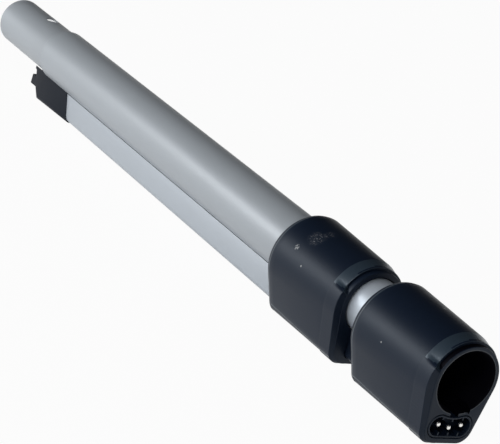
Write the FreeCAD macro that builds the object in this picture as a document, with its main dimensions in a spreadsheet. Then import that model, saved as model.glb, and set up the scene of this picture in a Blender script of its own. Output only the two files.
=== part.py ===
import FreeCAD, Part

import math
import os

import Sketcher

# Telescopic vacuum wand with a cable channel, lying collapsed with the channel side down.
# The frame: the origin is the centre of the handle socket's mouth, +X points out of that mouth
# along the wand's axis, and +Z is the side away from the channel. All sizes are millimetres.

os.makedirs("parts", exist_ok=True)
document = FreeCAD.newDocument("telescopic_wand")
sheet = document.addObject("Spreadsheet::Sheet", "Sizes")

# How near to a face an edge must lie to count as one of its edges
TOUCH = 0.05

SIZES = {
    # The two steel tubes
    "collapsed_length": 587,
    "tube_wall": 0.8,
    "outer_tube_radius": 19.3,
    "inner_tube_radius": 17.5,
    "spigot_radius": 17.5,
    "spigot_length": 76,
    "shoulder_length": 3,
    "tube_end_room": 13,
    "latch_hole_radius": 4.25,
    "latch_hole_inset": 47,
    "detent_radius": 2.6,
    "detent_pitch": 40,
    "detent_count": 9,
    # Clearances
    "seat_gap": 0.05,
    "slide_gap": 0.08,
    "free_gap": 0.4,
    "neck_room": 0.9,
    # How far cuts run past a face, and how far passages reach into the bore
    "cut_overrun": 1,
    "bore_overlap": 8,
    # Collars: both have the same outline
    "handle_collar_length": 72,
    "lock_collar_front": 91,
    "lock_collar_length": 72,
    "lip_length": 4,
    "bevel_length": 5,
    "rim_round": 2.6,
    "rear_radius": 28.1,
    "rear_drop": 1.9,
    "rear_corner_out": 8,
    "rear_corner_down": 31.4,
    "rear_corner_radius": 7,
    "front_radius": 25.7,
    "front_drop": 1.3,
    "front_corner_out": 8.6,
    "front_corner_down": 28.8,
    "front_corner_radius": 8.7,
    "crease_radius": 22.6,
    "crease_drop": 0.25,
    "crease_corner_out": 8.1,
    "crease_corner_down": 28.4,
    "crease_corner_radius": 8.8,
    "lip_radius": 21.6,
    "lip_drop": 0.15,
    "lip_corner_out": 8,
    "lip_corner_down": 28.3,
    "lip_corner_radius": 8.7,
    "lip_round": 0.7,
    # The sleeves inside the collars
    "core_radius": 20.6,
    "core_corner_out": 8.3,
    "core_corner_down": 28.6,
    "core_corner_radius": 7.4,
    "core_front_length": 24,
    "slim_corner_out": 5.6,
    "slim_corner_down": 29,
    "slim_corner_radius": 7.2,
    "handle_core_length": 60,
    "lock_core_length": 31,
    # Handle socket
    "socket_radius": 17.75,
    "socket_depth": 43,
    "socket_mouth_radius": 19.1,
    "socket_mouth_depth": 3,
    "stop_radius": 16.7,
    "stop_length": 2,
    "keyway_width": 5.5,
    "keyway_depth": 36,
    "keyway_overlap": 0.5,
    "slit_width": 1,
    "slit_across": 9,
    "slit_down": 18.6,
    "slit_depth": 12,
    "tongue_down": 17.9,
    # Contact block
    "saddle_radius": 21.2,
    "lobe_radius": 6.8,
    "lobe_down": 26.75,
    "block_wall": 1.3,
    "block_rim_round": 0.45,
    "block_gap": 0.3,
    "block_length": 24,
    "recess_depth": 9,
    "rib_width": 1,
    "rib_height": 1.2,
    "rib_pitch": 7,
    "rib_root": 0.6,
    "rib_rise": 1.1,
    "rib_inset": 0.5,
    "pin_radius": 1.5,
    "pin_pitch": 8,
    "pin_down": 25.9,
    "pin_drop": 1.8,
    "pin_recess": 0.3,
    "pin_length": 19,
    "pin_tip_round": 0.9,
    # Cable channel, conduit and lead
    "channel_half_width": 10.1,
    "channel_bottom": 35.2,
    "channel_corner": 3.4,
    "channel_wall": 1,
    "channel_end_room": 34,
    "conduit_half_width": 8.4,
    "conduit_bottom": 33.1,
    "conduit_corner": 3,
    "conduit_wall": 1.2,
    "conduit_roof": 21,
    "conduit_front": 40,
    "conduit_end_room": 15,
    "lead_radius": 5.1,
    "lead_core_radius": 2.2,
    "lead_front": 28,
    "lead_overhang": 4,
    "lead_down": 26.5,
    # Guides and seal
    "seal_width": 3,
    "seal_inset": 1.6,
    "seal_outer_radius": 19.3,
    "guide_length": 15,
    "flange_length": 1.5,
    "ring_length": 14,
    # Release rocker in the lock collar's side
    "rocker_front": 99,
    "rocker_length": 42,
    "rocker_half_height": 7,
    "rocker_inner": 22.6,
    "rocker_crown_radius": 27.4,
    "rocker_edge_round": 0.8,
    "pivot_along": 120,
    "pivot_across": 24,
    "pivot_radius": 1,
    "pivot_half_length": 9.5,
    "pocket_floor": 20.9,
    "latch_along": 104,
    "latch_radius": 2,
    "latch_tip": 17.8,
    "latch_top": 25.4,
    "latch_clearance": 0.9,
    "latch_tip_round": 0.8,
    "grip_width": 1.2,
    "grip_depth": 0.6,
    "grip_pitch": 3,
    "grip_count": 5,
    "grip_inset": 3,
    "spring_front": 126,
    "spring_span": 13,
    "spring_width": 6,
    "spring_thick": 0.3,
    "spring_crest": 2.6,
    # Plug housing at the nozzle end
    # Plug places along the wand are measured from the rear end of the channel
    "plug_half_width": 10.6,
    "plug_front_bottom": 35.7,
    "plug_rear_bottom": 37.2,
    "plug_overlap": 12.3,
    "plug_slant": 13.5,
    "plug_heel_reach": 40,
    "plug_back_reach": 46.5,
    "spike_reach": 51.5,
    "spike_low": 18.6,
    "spike_high": 17.1,
    "plug_round": 2.4,
    "belly_round": 3,
    "back_round": 3,
    "nose_half_width": 8.8,
    "nose_reach": 58,
    "nose_root": 4,
    "nose_top": 23.6,
    "nose_bottom": 30.2,
    "sleeve_radius": 1.6,
    "sleeve_wall": 0.5,
    "sleeve_length": 9,
    "sleeve_inset": 0.2,
    "sleeve_pitch": 4.8,
    "sleeve_down": 26.9,
    # Screws
    "screw_radius": 1.2,
    "screw_head_radius": 2,
    "screw_head_depth": 0.8,
    "screw_recess": 0.3,
    "drive_width": 0.8,
    "drive_depth": 0.5,
    "contact_screw_along": 16,
    "contact_screw_top": 31.6,
    "drill_start": 5,
    "collar_screw_along": 110,
    "collar_screw_across": 10.9,
    "collar_screw_rise": 1.05,
    "collar_screw_top": 25,
    "plug_screw_reach": 22,
    "plug_screw_top": 21.5,
}

for row, (word, number) in enumerate(SIZES.items(), start=1):
    sheet.set("A%d" % row, word)
    sheet.set("B%d" % row, str(number))
    sheet.setAlias("B%d" % row, word)
document.recompute()


class Size:
    """A number that remembers the sheet formula it comes from."""

    def __init__(self, number, formula=None):
        self.number = float(number)
        self.formula = formula or repr(self.number)

    def __add__(self, other):
        other = as_size(other)
        return Size(self.number + other.number, "(%s + %s)" % (self.formula, other.formula))

    def __sub__(self, other):
        other = as_size(other)
        return Size(self.number - other.number, "(%s - %s)" % (self.formula, other.formula))

    def __mul__(self, factor):
        factor = as_size(factor)
        return Size(self.number * factor.number, "(%s * %s)" % (self.formula, factor.formula))

    def __neg__(self):
        return Size(-self.number, "(0 - %s)" % self.formula)


def as_size(value):
    return value if isinstance(value, Size) else Size(value)


class Sheet:
    """Every size in the sheet, by its own word."""

    def __init__(self, words):
        for word in words:
            setattr(self, word, Size(sheet.get(word), "Sizes." + word))


s = Sheet(SIZES)
zero = Size(0)
bodies = []


def bind(thing, prop, size):
    thing.setExpression(prop, as_size(size).formula)


def new_body(label):
    body = document.addObject("PartDesign::Body", label)
    body.Label = label
    bodies.append(body)
    return body


def origin_item(body, role):
    return [item for item in body.Origin.OriginFeatures if item.Role == role][0]


def new_sketch(body, name, plane, offset=0):
    """A sketch on one of the body's own planes, moved along that plane's normal."""
    sketch = body.newObject("Sketcher::SketchObject", body.Label + "_" + name)
    sketch.AttachmentSupport = [(origin_item(body, plane), "")]
    sketch.MapMode = "FlatFace"
    offset = as_size(offset)
    sketch.AttachmentOffset = FreeCAD.Placement(
        FreeCAD.Vector(0, 0, offset.number), FreeCAD.Rotation()
    )
    bind(sketch, "AttachmentOffset.Base.z", offset)
    return sketch


def constrain(sketch, kind, *items):
    return sketch.addConstraint(Sketcher.Constraint(kind, *items))


def measure(sketch, kind, items, size):
    """Add one dimension to a sketch and tie it to the sheet."""
    index = constrain(sketch, kind, *items, size.number)
    sketch.setExpression("Constraints[%d]" % index, size.formula)


def pin_point(sketch, shape, end, across, up):
    """Hold one point of the sketch at (across, up) from its origin."""
    for kind, axis, size in (("DistanceX", -2, as_size(across)), ("DistanceY", -1, as_size(up))):
        if size.number == 0:
            constrain(sketch, "PointOnObject", shape, end, axis)
        elif size.number > 0:
            measure(sketch, kind, (-1, 1, shape, end), size)
        else:
            measure(sketch, kind, (shape, end, -1, 1), -size)


def vector(across, up):
    return FreeCAD.Vector(as_size(across).number, as_size(up).number, 0)


def draw_circle(sketch, across, up, radius):
    circle = Part.Circle(vector(across, up), FreeCAD.Vector(0, 0, 1), radius.number)
    shape = sketch.addGeometry(circle, False)
    if as_size(across).number == 0 and as_size(up).number == 0:
        constrain(sketch, "Coincident", shape, 3, -1, 1)
    else:
        pin_point(sketch, shape, 3, across, up)
    measure(sketch, "Radius", (shape,), radius)


def draw_polygon(sketch, points):
    """A closed outline of straight runs through points, each held from the origin."""
    corners = [vector(*point) for point in points]
    lines = []
    for start, end in zip(corners, corners[1:] + corners[:1]):
        lines.append(sketch.addGeometry(Part.LineSegment(start, end), False))
    for line, following in zip(lines, lines[1:] + lines[:1]):
        constrain(sketch, "Coincident", line, 2, following, 1)
    for line, (across, up) in zip(lines, points):
        pin_point(sketch, line, 1, across, up)


def draw_box(sketch, left, right, low, high):
    draw_polygon(sketch, [(left, low), (right, low), (right, high), (left, high)])


def arc(centre, radius, start, end):
    circle = Part.Circle(centre, FreeCAD.Vector(0, 0, 1), radius)
    return Part.ArcOfCircle(circle, math.radians(start), math.radians(end))


def draw_collar(sketch, radius, drop, out, down, corner):
    """Collar section: a round top, leaning flanks and two rounded lower corners."""
    drop = as_size(drop)
    fall = down.number - drop.number
    reach = math.hypot(out.number, fall)
    lean = math.atan2(fall, out.number)
    lean -= math.acos((radius.number - corner.number) / reach)
    lean = math.degrees(lean)
    right = FreeCAD.Vector(out.number, -down.number, 0)
    left = FreeCAD.Vector(-out.number, -down.number, 0)
    top_arc = arc(FreeCAD.Vector(0, -drop.number, 0), radius.number, -lean, 180 + lean)
    right_arc = arc(right, corner.number, -90, -lean)
    left_arc = arc(left, corner.number, 180 + lean, 270)
    top = sketch.addGeometry(top_arc, False)
    right = sketch.addGeometry(right_arc, False)
    left = sketch.addGeometry(left_arc, False)
    right_flank = sketch.addGeometry(
        Part.LineSegment(right_arc.EndPoint, top_arc.StartPoint), False
    )
    left_flank = sketch.addGeometry(Part.LineSegment(top_arc.EndPoint, left_arc.StartPoint), False)
    base = sketch.addGeometry(Part.LineSegment(left_arc.EndPoint, right_arc.StartPoint), False)
    pin_point(sketch, top, 3, zero, -drop)
    constrain(sketch, "Tangent", right, 2, right_flank, 1)
    constrain(sketch, "Tangent", right_flank, 2, top, 1)
    constrain(sketch, "Tangent", top, 2, left_flank, 1)
    constrain(sketch, "Tangent", left_flank, 2, left, 1)
    constrain(sketch, "Tangent", left, 2, base, 1)
    constrain(sketch, "Tangent", base, 2, right, 1)
    constrain(sketch, "Equal", left, right)
    constrain(sketch, "Symmetric", left, 3, right, 3, -2)
    pin_point(sketch, right, 3, out, -down)
    measure(sketch, "Radius", (top,), radius)
    measure(sketch, "Radius", (right,), corner)


def draw_trough(sketch, half_width, top, bottom, corner):
    """An upright block with square top corners and rounded bottom corners."""
    side = half_width.number
    low = bottom.number
    bend = corner.number
    high = top.number
    right_arc = arc(FreeCAD.Vector(side - bend, low + bend, 0), bend, -90, 0)
    left_arc = arc(FreeCAD.Vector(bend - side, low + bend, 0), bend, 180, 270)
    right_top = FreeCAD.Vector(side, high, 0)
    left_top = FreeCAD.Vector(-side, high, 0)
    right = sketch.addGeometry(right_arc, False)
    left = sketch.addGeometry(left_arc, False)
    right_side = sketch.addGeometry(Part.LineSegment(right_arc.EndPoint, right_top), False)
    roof = sketch.addGeometry(Part.LineSegment(right_top, left_top), False)
    left_side = sketch.addGeometry(Part.LineSegment(left_top, left_arc.StartPoint), False)
    base = sketch.addGeometry(Part.LineSegment(left_arc.EndPoint, right_arc.StartPoint), False)
    constrain(sketch, "Tangent", right, 2, right_side, 1)
    constrain(sketch, "Coincident", right_side, 2, roof, 1)
    constrain(sketch, "Coincident", roof, 2, left_side, 1)
    constrain(sketch, "Tangent", left_side, 2, left, 1)
    constrain(sketch, "Tangent", left, 2, base, 1)
    constrain(sketch, "Tangent", base, 2, right, 1)
    constrain(sketch, "Vertical", right_side)
    constrain(sketch, "Vertical", left_side)
    constrain(sketch, "Horizontal", base)
    constrain(sketch, "Equal", left, right)
    constrain(sketch, "Symmetric", left_side, 1, right_side, 2, -2)
    pin_point(sketch, right_side, 2, half_width, top)
    measure(sketch, "DistanceY", (base, 1, -1, 1), -bottom)
    measure(sketch, "Radius", (right,), corner)


def draw_kidney(sketch, saddle, lobe, down):
    """Kidney section: a saddle round the bore, two round lobes and a straight base."""
    reach = saddle.number + lobe.number
    across = math.sqrt(reach ** 2 - down.number ** 2)
    swing = math.degrees(math.atan2(down.number, across))
    saddle_arc = arc(FreeCAD.Vector(0, 0, 0), saddle.number, 180 + swing, 360 - swing)
    right_arc = arc(FreeCAD.Vector(across, -down.number, 0), lobe.number, -90, 180 - swing)
    left_arc = arc(FreeCAD.Vector(-across, -down.number, 0), lobe.number, swing, 270)
    top = sketch.addGeometry(saddle_arc, False)
    right = sketch.addGeometry(right_arc, False)
    left = sketch.addGeometry(left_arc, False)
    base = sketch.addGeometry(Part.LineSegment(left_arc.EndPoint, right_arc.StartPoint), False)
    constrain(sketch, "Coincident", top, 3, -1, 1)
    constrain(sketch, "Tangent", top, 2, right, 2)
    constrain(sketch, "Tangent", top, 1, left, 1)
    constrain(sketch, "Tangent", left, 2, base, 1)
    constrain(sketch, "Tangent", base, 2, right, 1)
    constrain(sketch, "Equal", left, right)
    constrain(sketch, "Horizontal", left, 3, right, 3)
    measure(sketch, "Radius", (top,), saddle)
    measure(sketch, "Radius", (right,), lobe)
    measure(sketch, "DistanceY", (right, 3, -1, 1), down)


def add_feature(body, kind, name, sketch, length, reverse, both):
    before = volume_of(body)
    feature = body.newObject("PartDesign::" + kind, body.Label + "_" + name)
    feature.Profile = sketch
    if length is None:
        feature.Type = "ThroughAll"
    else:
        bind(feature, "Length", length)
    if both:
        feature.SideType = "Symmetric"
    feature.Reversed = reverse
    document.recompute()
    grown = volume_of(body) - before
    if (grown <= 0) == (kind == "Pad"):
        raise ValueError("%s of %s leaves its solid unchanged" % (name, body.Label))
    return feature


def volume_of(body):
    return body.Shape.Volume if body.Tip and not body.Shape.isNull() else 0.0


def pad(body, name, sketch, length, reverse=False, both=False):
    return add_feature(body, "Pad", name, sketch, length, reverse, both)


def pocket(body, name, sketch, length=None, reverse=False, both=False):
    return add_feature(body, "Pocket", name, sketch, length, reverse, both)


def revolve(body, name, points, cut=False):
    """Turn a profile of (along the wand, away from its axis) points round the wand's axis."""
    sketch = new_sketch(body, name + "_profile", "XZ_Plane")
    draw_polygon(sketch, points)
    kind = "PartDesign::Groove" if cut else "PartDesign::Revolution"
    before = volume_of(body)
    feature = body.newObject(kind, body.Label + "_" + name)
    feature.Profile = sketch
    feature.ReferenceAxis = (origin_item(body, "X_Axis"), [""])
    feature.Angle = 360
    document.recompute()
    if (volume_of(body) - before <= 0) != cut:
        raise ValueError("%s of %s leaves its solid unchanged" % (name, body.Label))
    return feature


def collar_section(body, name, along, family):
    """One collar section at a place along the wand, with sizes from one family of cells."""
    sketch = new_sketch(body, name, "YZ_Plane", along)
    radius = getattr(s, family + "_radius")
    drop = getattr(s, family + "_drop")
    out = getattr(s, family + "_corner_out")
    down = getattr(s, family + "_corner_down")
    corner = getattr(s, family + "_corner_radius")
    draw_collar(sketch, radius, drop, out, down, corner)
    return sketch


def core_section(body, name, along, family, gap):
    """The section of a core, or of the cavity that takes it when gap is above zero."""
    sketch = new_sketch(body, name, "YZ_Plane", along)
    out = getattr(s, family + "_corner_out")
    down = getattr(s, family + "_corner_down")
    corner = getattr(s, family + "_corner_radius")
    draw_collar(sketch, s.core_radius + gap, zero, out, down, corner + gap)
    return sketch


def loft(body, name, first, second):
    feature = body.newObject("PartDesign::AdditiveLoft", body.Label + "_" + name)
    feature.Profile = first
    feature.Sections = [second]
    document.recompute()
    return feature


def edges_at(shape, along):
    """Names of the edges that lie wholly at one place along the wand."""
    names = []
    for index, edge in enumerate(shape.Edges, start=1):
        box = edge.BoundBox
        if abs(box.XMin - along) < TOUCH and abs(box.XMax - along) < TOUCH:
            names.append("Edge%d" % index)
    return names


def fillet(body, name, edges, size):
    before = volume_of(body)
    base = body.Tip
    feature = body.newObject("PartDesign::Fillet", body.Label + "_" + name)
    feature.Base = (base, edges)
    bind(feature, "Radius", size)
    document.recompute()
    if volume_of(body) == before:
        raise ValueError("%s of %s leaves its solid unchanged" % (name, body.Label))
    return feature


def collar_shell(label, front, length):
    """The outer cover of a collar: a drafted hull with a bevelled front and a soft rear rim."""
    body = new_body(label)
    crease_at = -(front + s.lip_length)
    edge_at = crease_at - s.bevel_length
    rear_at = -(front + length)
    rear = collar_section(body, "rear_section", rear_at, "rear")
    shoulder = collar_section(body, "shoulder_section", edge_at, "front")
    loft(body, "hull", rear, shoulder)
    shoulder_again = collar_section(body, "bevel_base", edge_at, "front")
    crease = collar_section(body, "crease_section", crease_at, "crease")
    loft(body, "bevel", shoulder_again, crease)
    rim = edges_at(body.Shape, rear_at.number)
    fillet(body, "rear_rim", rim, s.rim_round)
    return body


def conduit_hole(body, name, along, gap, length=None):
    """The passage for the conduit, running back from one place along the wand."""
    sketch = new_sketch(body, name, "YZ_Plane", along)
    half_width = s.conduit_half_width + gap
    bottom = -(s.conduit_bottom + gap)
    draw_trough(sketch, half_width, bore_reach, bottom, s.conduit_corner + gap)
    pocket(body, name + "_cut", sketch, length)


def shank_hole(body, along, across, surface, top):
    """A plain hole for a screw's shank, drilled upwards from below the underside."""
    count = len(body.Group)
    shank = new_sketch(body, "shank_%d" % count, "XY_Plane", -surface - s.drill_start)
    draw_circle(shank, -along, across, s.screw_radius + s.seat_gap)
    depth = surface + s.drill_start - top
    pocket(body, "shank_cut_%d" % count, shank, depth, reverse=True)


def screw_hole(body, along, across, surface, top):
    """A stepped hole for a screw driven upwards: wide for the head, then the shank."""
    count = len(body.Group)
    head = new_sketch(body, "head_%d" % count, "XY_Plane", -surface - s.drill_start)
    draw_circle(head, -along, across, s.screw_head_radius + s.seat_gap)
    depth = s.screw_recess + s.screw_head_depth + s.drill_start
    pocket(body, "head_cut_%d" % count, head, depth, reverse=True)
    shank_hole(body, along, across, surface, top)


def screw(label, along, places, surface, top):
    """One or more like screws, driven upwards into the underside, with slotted flat heads."""
    head_low = -surface + s.screw_recess
    pieces = []
    for across in places:
        head = document.addObject("Part::Cylinder", label + "_head")
        bind(head, "Radius", s.screw_head_radius)
        bind(head, "Height", s.screw_head_depth)
        bind(head, "Placement.Base.x", -along)
        bind(head, "Placement.Base.y", across)
        bind(head, "Placement.Base.z", head_low)
        shank = document.addObject("Part::Cylinder", label + "_shank")
        bind(shank, "Radius", s.screw_radius)
        bind(shank, "Height", surface - s.screw_recess - top - s.seat_gap)
        bind(shank, "Placement.Base.x", -along)
        bind(shank, "Placement.Base.y", across)
        bind(shank, "Placement.Base.z", head_low)
        slot = document.addObject("Part::Box", label + "_slot")
        slot_reach = s.screw_head_radius + s.cut_overrun
        bind(slot, "Length", slot_reach * 2)
        bind(slot, "Width", s.drive_width)
        bind(slot, "Height", s.drive_depth * 2)
        bind(slot, "Placement.Base.x", -along - slot_reach)
        bind(slot, "Placement.Base.y", as_size(across) - s.drive_width * 0.5)
        bind(slot, "Placement.Base.z", head_low - s.drive_depth)
        joined = document.addObject("Part::Fuse", label + "_blank")
        joined.Base = head
        joined.Tool = shank
        slotted = document.addObject("Part::Cut", label + "_one")
        slotted.Base = joined
        slotted.Tool = slot
        pieces.append(slotted)
    if len(pieces) == 1:
        group = pieces[0]
    else:
        group = document.addObject("Part::Compound", label + "_group")
        group.Links = pieces
    group.Label = label
    bodies.append(group)


def collar_bottom(front, length, along):
    """How far below the axis the hull's underside lies at one place along the wand."""
    rear_low = s.rear_corner_down + s.rear_corner_radius
    front_low = s.front_corner_down + s.front_corner_radius
    bevel_end = s.lip_length + s.bevel_length
    share = (along - front - bevel_end).number / (length - bevel_end).number
    return Size(front_low.number + (rear_low - front_low).number * share)


# Places along the wand: the far end carries the rear ends of all the long pieces with it.
far_end = -s.collapsed_length
step_end = far_end + s.spigot_length
step_start = step_end + s.shoulder_length
outer_front = -(s.lock_collar_front + s.lock_core_length + s.flange_length)
inner_rear = step_start + s.tube_end_room
channel_rear = step_start + s.channel_end_room
conduit_rear = channel_rear + s.conduit_end_room
lead_rear = channel_rear - s.lead_overhang
plug_front = channel_rear + s.plug_overlap
plug_back = channel_rear - s.plug_back_reach
spike_end = channel_rear - s.spike_reach
nose_tip = channel_rear - s.nose_reach
bore_reach = -s.bore_overlap

# Outer tube: rolled steel, drawn down to the standard spigot at the nozzle end.
outer_tube = new_body("outer_tube")
revolve(outer_tube, "wall", [
    (far_end, s.spigot_radius - s.tube_wall),
    (step_end, s.spigot_radius - s.tube_wall),
    (step_start, s.outer_tube_radius - s.tube_wall),
    (outer_front, s.outer_tube_radius - s.tube_wall),
    (outer_front, s.outer_tube_radius),
    (step_start, s.outer_tube_radius),
    (step_end, s.spigot_radius),
    (far_end, s.spigot_radius),
])
latch_hole = new_sketch(outer_tube, "latch_circle", "XY_Plane")
draw_circle(latch_hole, far_end + s.latch_hole_inset, 0, s.latch_hole_radius)
pocket(outer_tube, "latch_hole", latch_hole, s.outer_tube_radius * 2, reverse=True)

# Inner tube: it slides in the outer one, with a row of detent holes for the latch pin.
inner_tube = new_body("inner_tube")
tube_front = -(s.socket_depth + s.stop_length)
revolve(inner_tube, "wall", [
    (inner_rear, s.inner_tube_radius - s.tube_wall),
    (tube_front, s.inner_tube_radius - s.tube_wall),
    (tube_front, s.inner_tube_radius),
    (inner_rear, s.inner_tube_radius),
])
detent = new_sketch(inner_tube, "detent_circle", "XZ_Plane")
draw_circle(detent, -s.latch_along, 0, s.detent_radius)
first_detent = pocket(inner_tube, "detent", detent, s.inner_tube_radius * 2)
row = inner_tube.newObject("PartDesign::LinearPattern", "inner_tube_detent_row")
row.Originals = [first_detent]
row.Direction = (origin_item(inner_tube, "X_Axis"), [""])
row.Reversed = True
row.Occurrences = SIZES["detent_count"]
bind(row, "Occurrences", s.detent_count)
bind(row, "Length", s.detent_pitch * (s.detent_count - 1))
inner_tube.Tip = row

# Cable channel: a silver trough that closes against the outer tube.
cable_channel = new_body("cable_channel")
channel_front = outer_front
trough = new_sketch(cable_channel, "outline", "YZ_Plane", channel_rear)
draw_trough(trough, s.channel_half_width, bore_reach, -s.channel_bottom, s.channel_corner)
pad(cable_channel, "trough", trough, channel_front - channel_rear)
hollow = new_sketch(cable_channel, "inside", "YZ_Plane", channel_front)
draw_trough(
    hollow,
    s.channel_half_width - s.channel_wall,
    bore_reach,
    -(s.channel_bottom - s.channel_wall),
    s.channel_corner - s.channel_wall,
)
pocket(cable_channel, "hollow", hollow)
saddle = new_sketch(cable_channel, "tube_circle", "YZ_Plane", channel_front)
draw_circle(saddle, 0, 0, s.outer_tube_radius + s.seat_gap)
pocket(cable_channel, "saddle", saddle)

# Conduit: a black box section under the inner tube that carries the lead down the channel.
inner_conduit = new_body("inner_conduit")
section = new_sketch(inner_conduit, "outline", "YZ_Plane", conduit_rear)
draw_trough(section, s.conduit_half_width, bore_reach, -s.conduit_bottom, s.conduit_corner)
pad(inner_conduit, "bar", section, -s.conduit_front - conduit_rear)
lead_way = new_sketch(inner_conduit, "inside", "YZ_Plane", -s.conduit_front)
draw_trough(
    lead_way,
    s.conduit_half_width - s.conduit_wall,
    -s.conduit_roof,
    -(s.conduit_bottom - s.conduit_wall),
    s.conduit_corner - s.conduit_wall,
)
pocket(inner_conduit, "hollow", lead_way)
clearance = new_sketch(inner_conduit, "tube_circle", "YZ_Plane", -s.conduit_front)
draw_circle(clearance, 0, 0, s.outer_tube_radius + s.free_gap)
pocket(inner_conduit, "saddle", clearance)

# Handle collar cover
handle_shell = collar_shell("handle_collar_shell", zero, s.handle_collar_length)
wide_cavity = core_section(handle_shell, "wide_cavity", zero, "core", s.seat_gap)
pocket(handle_shell, "wide_bay", wide_cavity, s.lip_length + s.core_front_length + s.seat_gap)
slim_cavity = core_section(handle_shell, "slim_cavity", zero, "slim", s.seat_gap)
pocket(handle_shell, "slim_bay", slim_cavity, s.handle_core_length + s.seat_gap)
tube_hole = new_sketch(handle_shell, "tube_hole", "YZ_Plane")
draw_circle(tube_hole, 0, 0, s.inner_tube_radius + s.seat_gap)
pocket(handle_shell, "tube_way", tube_hole)
conduit_hole(handle_shell, "conduit_hole", -s.handle_core_length, s.seat_gap)

# Handle socket: the moulded core with the visible lip, the bore and the keyway.
socket = new_body("handle_socket")
lip = collar_section(socket, "lip_section", zero, "lip")
pad(socket, "lip", lip, s.lip_length, reverse=True)
fillet(socket, "lip_edge", edges_at(socket.Shape, 0.0), s.lip_round)
wide = core_section(socket, "wide_section", -s.lip_length, "core", zero)
pad(socket, "wide_core", wide, s.core_front_length, reverse=True)
slim = core_section(socket, "slim_section", -s.lip_length, "slim", zero)
pad(socket, "slim_core", slim, s.handle_core_length - s.lip_length, reverse=True)
socket_rear = -(s.handle_core_length + s.cut_overrun)
revolve(socket, "bore", [
    (s.cut_overrun, 0),
    (s.cut_overrun, s.socket_mouth_radius),
    (0, s.socket_mouth_radius),
    (-s.socket_mouth_depth, s.socket_radius),
    (-s.socket_depth, s.socket_radius),
    (-s.socket_depth, s.stop_radius),
    (tube_front, s.stop_radius),
    (tube_front, s.inner_tube_radius + s.seat_gap),
    (socket_rear, s.inner_tube_radius + s.seat_gap),
    (socket_rear, 0),
], cut=True)
kidney = new_sketch(socket, "kidney", "YZ_Plane")
draw_kidney(kidney, s.saddle_radius - s.block_gap, s.lobe_radius + s.block_gap, s.lobe_down)
pocket(socket, "kidney_bay", kidney, s.block_length + s.seat_gap)
keyway = new_sketch(socket, "keyway", "YZ_Plane")
keyway_low = -(s.saddle_radius + s.keyway_overlap)
draw_box(keyway, s.keyway_width * -0.5, s.keyway_width * 0.5, keyway_low, bore_reach)
pocket(socket, "keyway_cut", keyway, s.keyway_depth)
slit = new_sketch(socket, "slit", "YZ_Plane")
draw_box(slit, s.slit_across, s.slit_across + s.slit_width, -s.slit_down, bore_reach)
pocket(socket, "slit_cut", slit, s.slit_depth)
tongue = new_sketch(socket, "tongue", "YZ_Plane")
draw_box(tongue, s.keyway_width * 0.5, s.slit_across, -s.tongue_down, bore_reach)
pocket(socket, "tongue_cut", tongue, s.slit_depth)
conduit_hole(socket, "conduit_hole", -s.conduit_front, s.seat_gap)
lead_room = new_sketch(socket, "lead_room", "YZ_Plane")
draw_circle(lead_room, 0, -s.lead_down, s.lead_radius + s.free_gap)
pocket(socket, "lead_way", lead_room)

# Contact block: the kidney insert with its raised rim, recess and guiding ribs.
block = new_body("contact_block")
outline = new_sketch(block, "outline", "YZ_Plane")
draw_kidney(outline, s.saddle_radius, s.lobe_radius, s.lobe_down)
pad(block, "blank", outline, s.block_length, reverse=True)
recess = new_sketch(block, "recess", "YZ_Plane")
draw_kidney(recess, s.saddle_radius + s.block_wall, s.lobe_radius - s.block_wall, s.lobe_down)
pocket(block, "recess_cut", recess, s.recess_depth)
fillet(block, "rim", edges_at(block.Shape, 0.0), s.block_rim_round)
ribs = new_sketch(block, "ribs", "YZ_Plane", -s.recess_depth)
recess_top = s.saddle_radius + s.block_wall
recess_base = s.lobe_down + s.lobe_radius - s.block_wall
for place in (-1, 0, 1):
    left = s.rib_pitch * place - s.rib_width * 0.5
    right = left + s.rib_width
    top = -(recess_top - s.rib_rise * abs(place))
    draw_box(ribs, left, right, top - s.rib_height, top + s.rib_root)
    draw_box(ribs, left, right, -(recess_base + s.rib_root), s.rib_height - recess_base)
pad(block, "guide_ribs", ribs, s.recess_depth - s.rib_inset)
for place in (-1, 0, 1):
    across = s.pin_pitch * place
    down = s.pin_down + s.pin_drop * (1 - abs(place))
    hole = new_sketch(block, "pin_hole_%d" % (place + 2), "YZ_Plane")
    draw_circle(hole, across, -down, s.pin_radius + s.seat_gap)
    pocket(block, "pin_way_%d" % (place + 2), hole)

# Contact pins: three round brass pins with domed tips, the middle one set lower.
for place in (-1, 0, 1):
    pin = new_body("contact_pin_%d" % (place + 2))
    across = s.pin_pitch * place
    down = s.pin_down + s.pin_drop * (1 - abs(place))
    outline = new_sketch(pin, "circle", "YZ_Plane", -s.pin_recess)
    draw_circle(outline, across, -down, s.pin_radius)
    pad(pin, "shank", outline, s.pin_length, reverse=True)
    tip = edges_at(pin.Shape, -s.pin_recess.number)
    fillet(pin, "tip", tip, s.pin_tip_round)

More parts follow.
